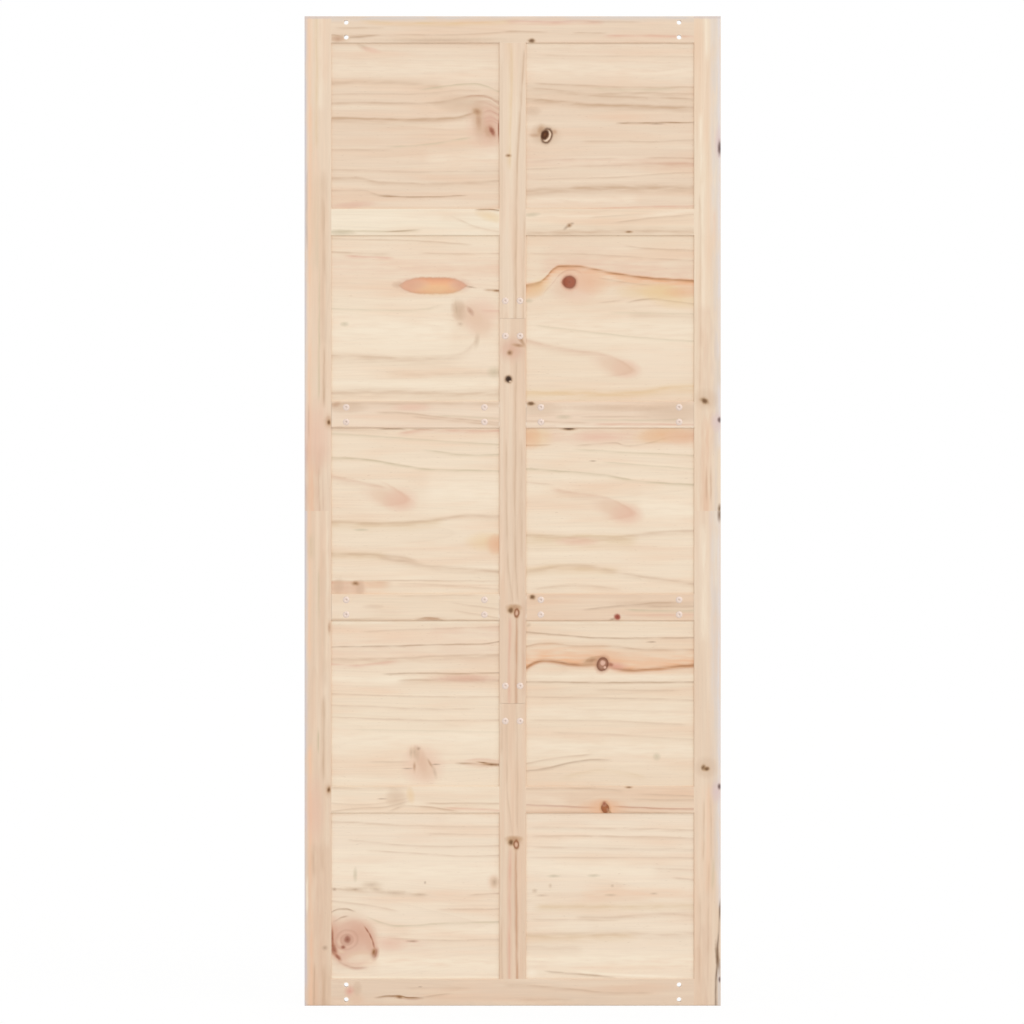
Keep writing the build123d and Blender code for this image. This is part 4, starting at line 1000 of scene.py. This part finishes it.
def plywoodMaterial():
    material = bpy.data.materials.new("birch plywood")
    add = nodesOf(material)
    place = add("TexCoord").outputs["Object"]
    inMm = add("Mapping", {"Vector": place, "Scale": (1000,) * 3})
    depth = add("SeparateXYZ", {0: inMm}).outputs["Y"]
    layer = add("Math", {0: depth, 1: 0.5 / plywood["veneer"]}, operation="MULTIPLY")
    layer = add("Math", {0: layer}, operation="FRACT")
    light, dark = plywood["alongGrain"], plywood["acrossGrain"]
    glue, line = plywood["glue"], plywood["glueLine"]
    veneers = add("ValToRGB", {0: layer}, stops=[(0, glue, 1), (1, dark, 1), (line, light, 1),
                                                 (0.48, light, 1), (0.5, glue, 1), (0.5 + line, dark, 1)])
    flecks = add("Mapping", {"Vector": inMm, "Scale": plywood["fleck"]})
    flecks = add("TexNoise", {"Vector": flecks, "Scale": 1, "Detail": 3})
    darkest, lightest = plywood["fleckTone"]
    tone = add("MapRange", {"Value": flecks, "To Min": darkest, "To Max": lightest})
    colour = add("Mix", {0: 1.0, 6: veneers, 7: tone}, data_type="RGBA", blend_type="MULTIPLY").outputs[2]
    bump = add("Bump", {"Strength": plywood["bump"], "Distance": plywood["relief"], "Height": flecks})
    shader = add("BsdfPrincipled", {"Base Color": colour, "Roughness": plywood["roughness"], "Normal": bump})
    add("OutputMaterial", {0: shader})
    return material


birchPlywood = plywoodMaterial()
tongues = [piece for name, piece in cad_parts.items() if "tongue" in name]
for piece in tongues:
    for slot in piece.material_slots:
        slot.material = birchPlywood
print("plywood on", len(tongues), "loose tongues")


# connectors of the dry joints: in front a screw with a low domed head and a hexagon socket, behind a sleeve
# nut with the same head; all in mm
connector = {
    # the head's radius, and how far below its top
    "dome": [(2.65, 0.02), (3.1, 0), (4.4, 0.06), (5.6, 0.22), (6.6, 0.5), (7.25, 0.85), (7.5, 1.15)],
    "headHeight": 1.0, "sink": 0.1, "shankRadius": 3.9, "shankTip": 0.4, "screwLength": 8.2, "nutLength": 9.2,
    "socketAcross": 4.0, "socketDepth": 2.4, "socketPoint": 0.5, "socketMouth": 0.25,
    "segments": 48, "sharpFrom": 35,         # degrees
    "steel": "#E8D5C8", "dull": "#D9C8BD", "roughness": (0.44, 0.6),
    "mottle": 0.9, "grains": 5, "bump": 0.1, "relief": 0.00005,
    "railStep": 416.4, "boltedRails": (2, 3), "alongRail": (61, 360), "offRail": 16,
    "muntinSeams": (-624.6, -1457.4), "offMuntin": 16, "offSeam": 38, "doorThickness": 18,
}
frontPlaces = [(side * x, updown * connector["offRail"] - connector["railStep"] * row)
               for row in connector["boltedRails"] for side in (-1, 1) for x in connector["alongRail"]
               for updown in (1, -1)]
frontPlaces += [(side * connector["offMuntin"], seam + updown * connector["offSeam"])
                for seam in connector["muntinSeams"] for side in (-1, 1) for updown in (1, -1)]


# zinc-plated steel: bright but soft grey, with the faint mottle of the plating
def zincMaterial():
    material = bpy.data.materials.new("zinc-plated steel")
    add = nodesOf(material)
    inMm = add("Mapping", {"Vector": add("TexCoord").outputs["Object"], "Scale": (1000,) * 3})
    mottle = add("TexNoise", {"Vector": inMm, "Scale": connector["mottle"], "Detail": 3})
    colour = add("Mix", {0: mottle, 6: hexToLinear(connector["steel"]), 7: hexToLinear(connector["dull"])},
                 data_type="RGBA").outputs[2]
    smooth, rough = connector["roughness"]
    roughness = add("MapRange", {"Value": mottle, "To Min": smooth, "To Max": rough})
    grains = add("TexNoise", {"Vector": inMm, "Scale": connector["grains"], "Detail": 2})
    bump = add("Bump", {"Strength": connector["bump"], "Distance": connector["relief"], "Height": grains})
    shader = add("BsdfPrincipled", {"Base Color": colour, "Metallic": 1.0, "Roughness": roughness,
                                     "Normal": bump})
    add("OutputMaterial", {0: shader})
    return material


# the distance from the axis to a hexagon's side, at an angle
def hexagonRadius(acrossFlats, angle):
    return acrossFlats / 2 / cos((angle + pi / 6) % (pi / 3) - pi / 6)


# turns a profile of (radius or hexagon, depth) round the y axis; depth grows into the wood
def turnedMesh(name, profile):
    mesh = bmesh.new()
    segments = connector["segments"]
    rings = []
    for radius, depth in profile:
        ring = []
        for number in range(segments):
            angle = 2 * pi * number / segments
            reach = hexagonRadius(connector["socketAcross"], angle) if radius == "hexagon" else radius
            ring.append(mesh.verts.new((reach * cos(angle) / 1000, depth / 1000, reach * sin(angle) / 1000)))
        rings.append(ring)
    for ring, following in zip(rings, rings[1:]):
        for number in range(segments):
            after = (number + 1) % segments
            mesh.faces.new((ring[number], ring[after], following[after], following[number]))
    mesh.faces.new(list(reversed(rings[0])))
    mesh.faces.new(rings[-1])
    bmesh.ops.recalc_face_normals(mesh, faces=mesh.faces)
    for face in mesh.faces:
        face.smooth = len(face.verts) == 4
    data = bpy.data.meshes.new(name)
    mesh.to_mesh(data)
    mesh.free()
    data.set_sharp_from_angle(angle=radians(connector["sharpFrom"]))
    return data


def headProfile(lowest):
    height, under = connector["headHeight"], connector["sink"]
    shank, tip, point = connector["shankRadius"], connector["shankTip"], connector["socketPoint"]
    socket = connector["socketDepth"] - height
    profile = [(point, socket + point), ("hexagon", socket), ("hexagon", connector["socketMouth"] - height)]
    profile += [(radius, below - height) for radius, below in connector["dome"]]
    profile += [(profile[-1][0], under), (shank, under), (shank, lowest - tip), (shank - tip, lowest)]
    return profile


zinc = zincMaterial()
screwMesh = turnedMesh("screw", headProfile(connector["screwLength"]))
nutMesh = turnedMesh("sleeve nut", headProfile(connector["nutLength"]))
for mesh in (screwMesh, nutMesh):
    mesh.materials.append(zinc)
behind = connector["doorThickness"] / 1000
for number, (x, z) in enumerate(frontPlaces, 1):
    for kind, mesh, y, turn in (("screw", screwMesh, 0, 0), ("sleeve_nut", nutMesh, behind, pi)):
        piece = bpy.data.objects.new(f"{kind}_{number:02d}", mesh)
        piece.location = (x / 1000, y, z / 1000)
        piece.rotation_euler = (0, radians(number * 37 % 60), turn)      # no two sockets stand alike
        bpy.context.scene.collection.objects.link(piece)
        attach(piece, "root")
print("connectors:", len(frontPlaces), "screws with their sleeve nuts")


# pale studio: white ground and backdrop, and a wide soft light from the front, a little from above and from
# the right
studio = {
    "floorTone": "#DEDCDA", "floorSize": 40,
    "floorGlow": 1.03, "floorShare": 0.9,        # how white the camera sees it; a tenth of the shadow stays
    "keyStrength": 0.685, "keySpread": 75, "keyFrom": (0.55, -1, 0.45),
    "worldStrength": 0.917, "lens": 200, "distance": 12.303, "aim": (-1.4, -1043.3),
}


def studioFloor():
    plane = bmesh.new()
    bmesh.ops.create_grid(plane, x_segments=8, y_segments=8, size=studio["floorSize"] / 2)
    data = bpy.data.meshes.new("floor")
    plane.to_mesh(data)
    plane.free()
    floor = bpy.data.objects.new("floor", data)
    floor.location = (0, 0, cadBox[0][2])
    bpy.context.scene.collection.objects.link(floor)
    material = bpy.data.materials.new("white paper ground")
    add = nodesOf(material)
    paper = add("BsdfPrincipled", {"Base Color": hexToLinear(studio["floorTone"]), "Roughness": 0.9})
    white = add("Emission", {0: (1, 1, 1, 1), 1: studio["floorGlow"]})
    rays = add("LightPath").outputs
    seen = add("Math", {0: rays["Is Camera Ray"], 1: rays["Is Glossy Ray"]}, operation="ADD", use_clamp=True)
    share = add("Math", {0: seen, 1: studio["floorShare"]}, operation="MULTIPLY")
    add("OutputMaterial", {0: add("MixShader", {0: share, 1: paper, 2: white})})
    data.materials.append(material)


def studioWorld():
    world = bpy.data.worlds.new("white studio")
    bpy.context.scene.world = world
    add = nodesOf(world)
    rays = add("LightPath").outputs
    seen = add("Math", {0: rays["Is Camera Ray"], 1: rays["Is Glossy Ray"]}, operation="ADD")
    seen = add("Math", {0: seen, 1: rays["Is Transmission Ray"]}, operation="ADD", use_clamp=True)
    soft = add("Background", {0: (1, 1, 1, 1), 1: studio["worldStrength"]})
    white = add("Background", {0: (1, 1, 1, 1), 1: 1.0})
    add("OutputWorld", {0: add("MixShader", {0: seen, 1: soft, 2: white})})


def studioLight():
    lamp = bpy.data.lights.new("window light", "SUN")
    lamp.energy = studio["keyStrength"]
    lamp.angle = radians(studio["keySpread"])
    light = bpy.data.objects.new("window light", lamp)
    light.rotation_euler = Vector(studio["keyFrom"]).to_track_quat("Z", "Y").to_euler()
    bpy.context.scene.collection.objects.link(light)


def studioCamera():
    camera = bpy.data.objects.new("camera", bpy.data.cameras.new("camera"))
    camera.data.lens = studio["lens"]
    camera.data.sensor_width = 36
    camera.data.clip_end = 200
    camera.location = (studio["aim"][0] / 1000, -studio["distance"], studio["aim"][1] / 1000)
    camera.rotation_euler = (pi / 2, 0, 0)
    bpy.context.scene.collection.objects.link(camera)
    bpy.context.scene.camera = camera


studioFloor()
studioWorld()
studioLight()
studioCamera()
bpy.context.scene.view_settings.view_transform = "Standard"
print("studio ready")
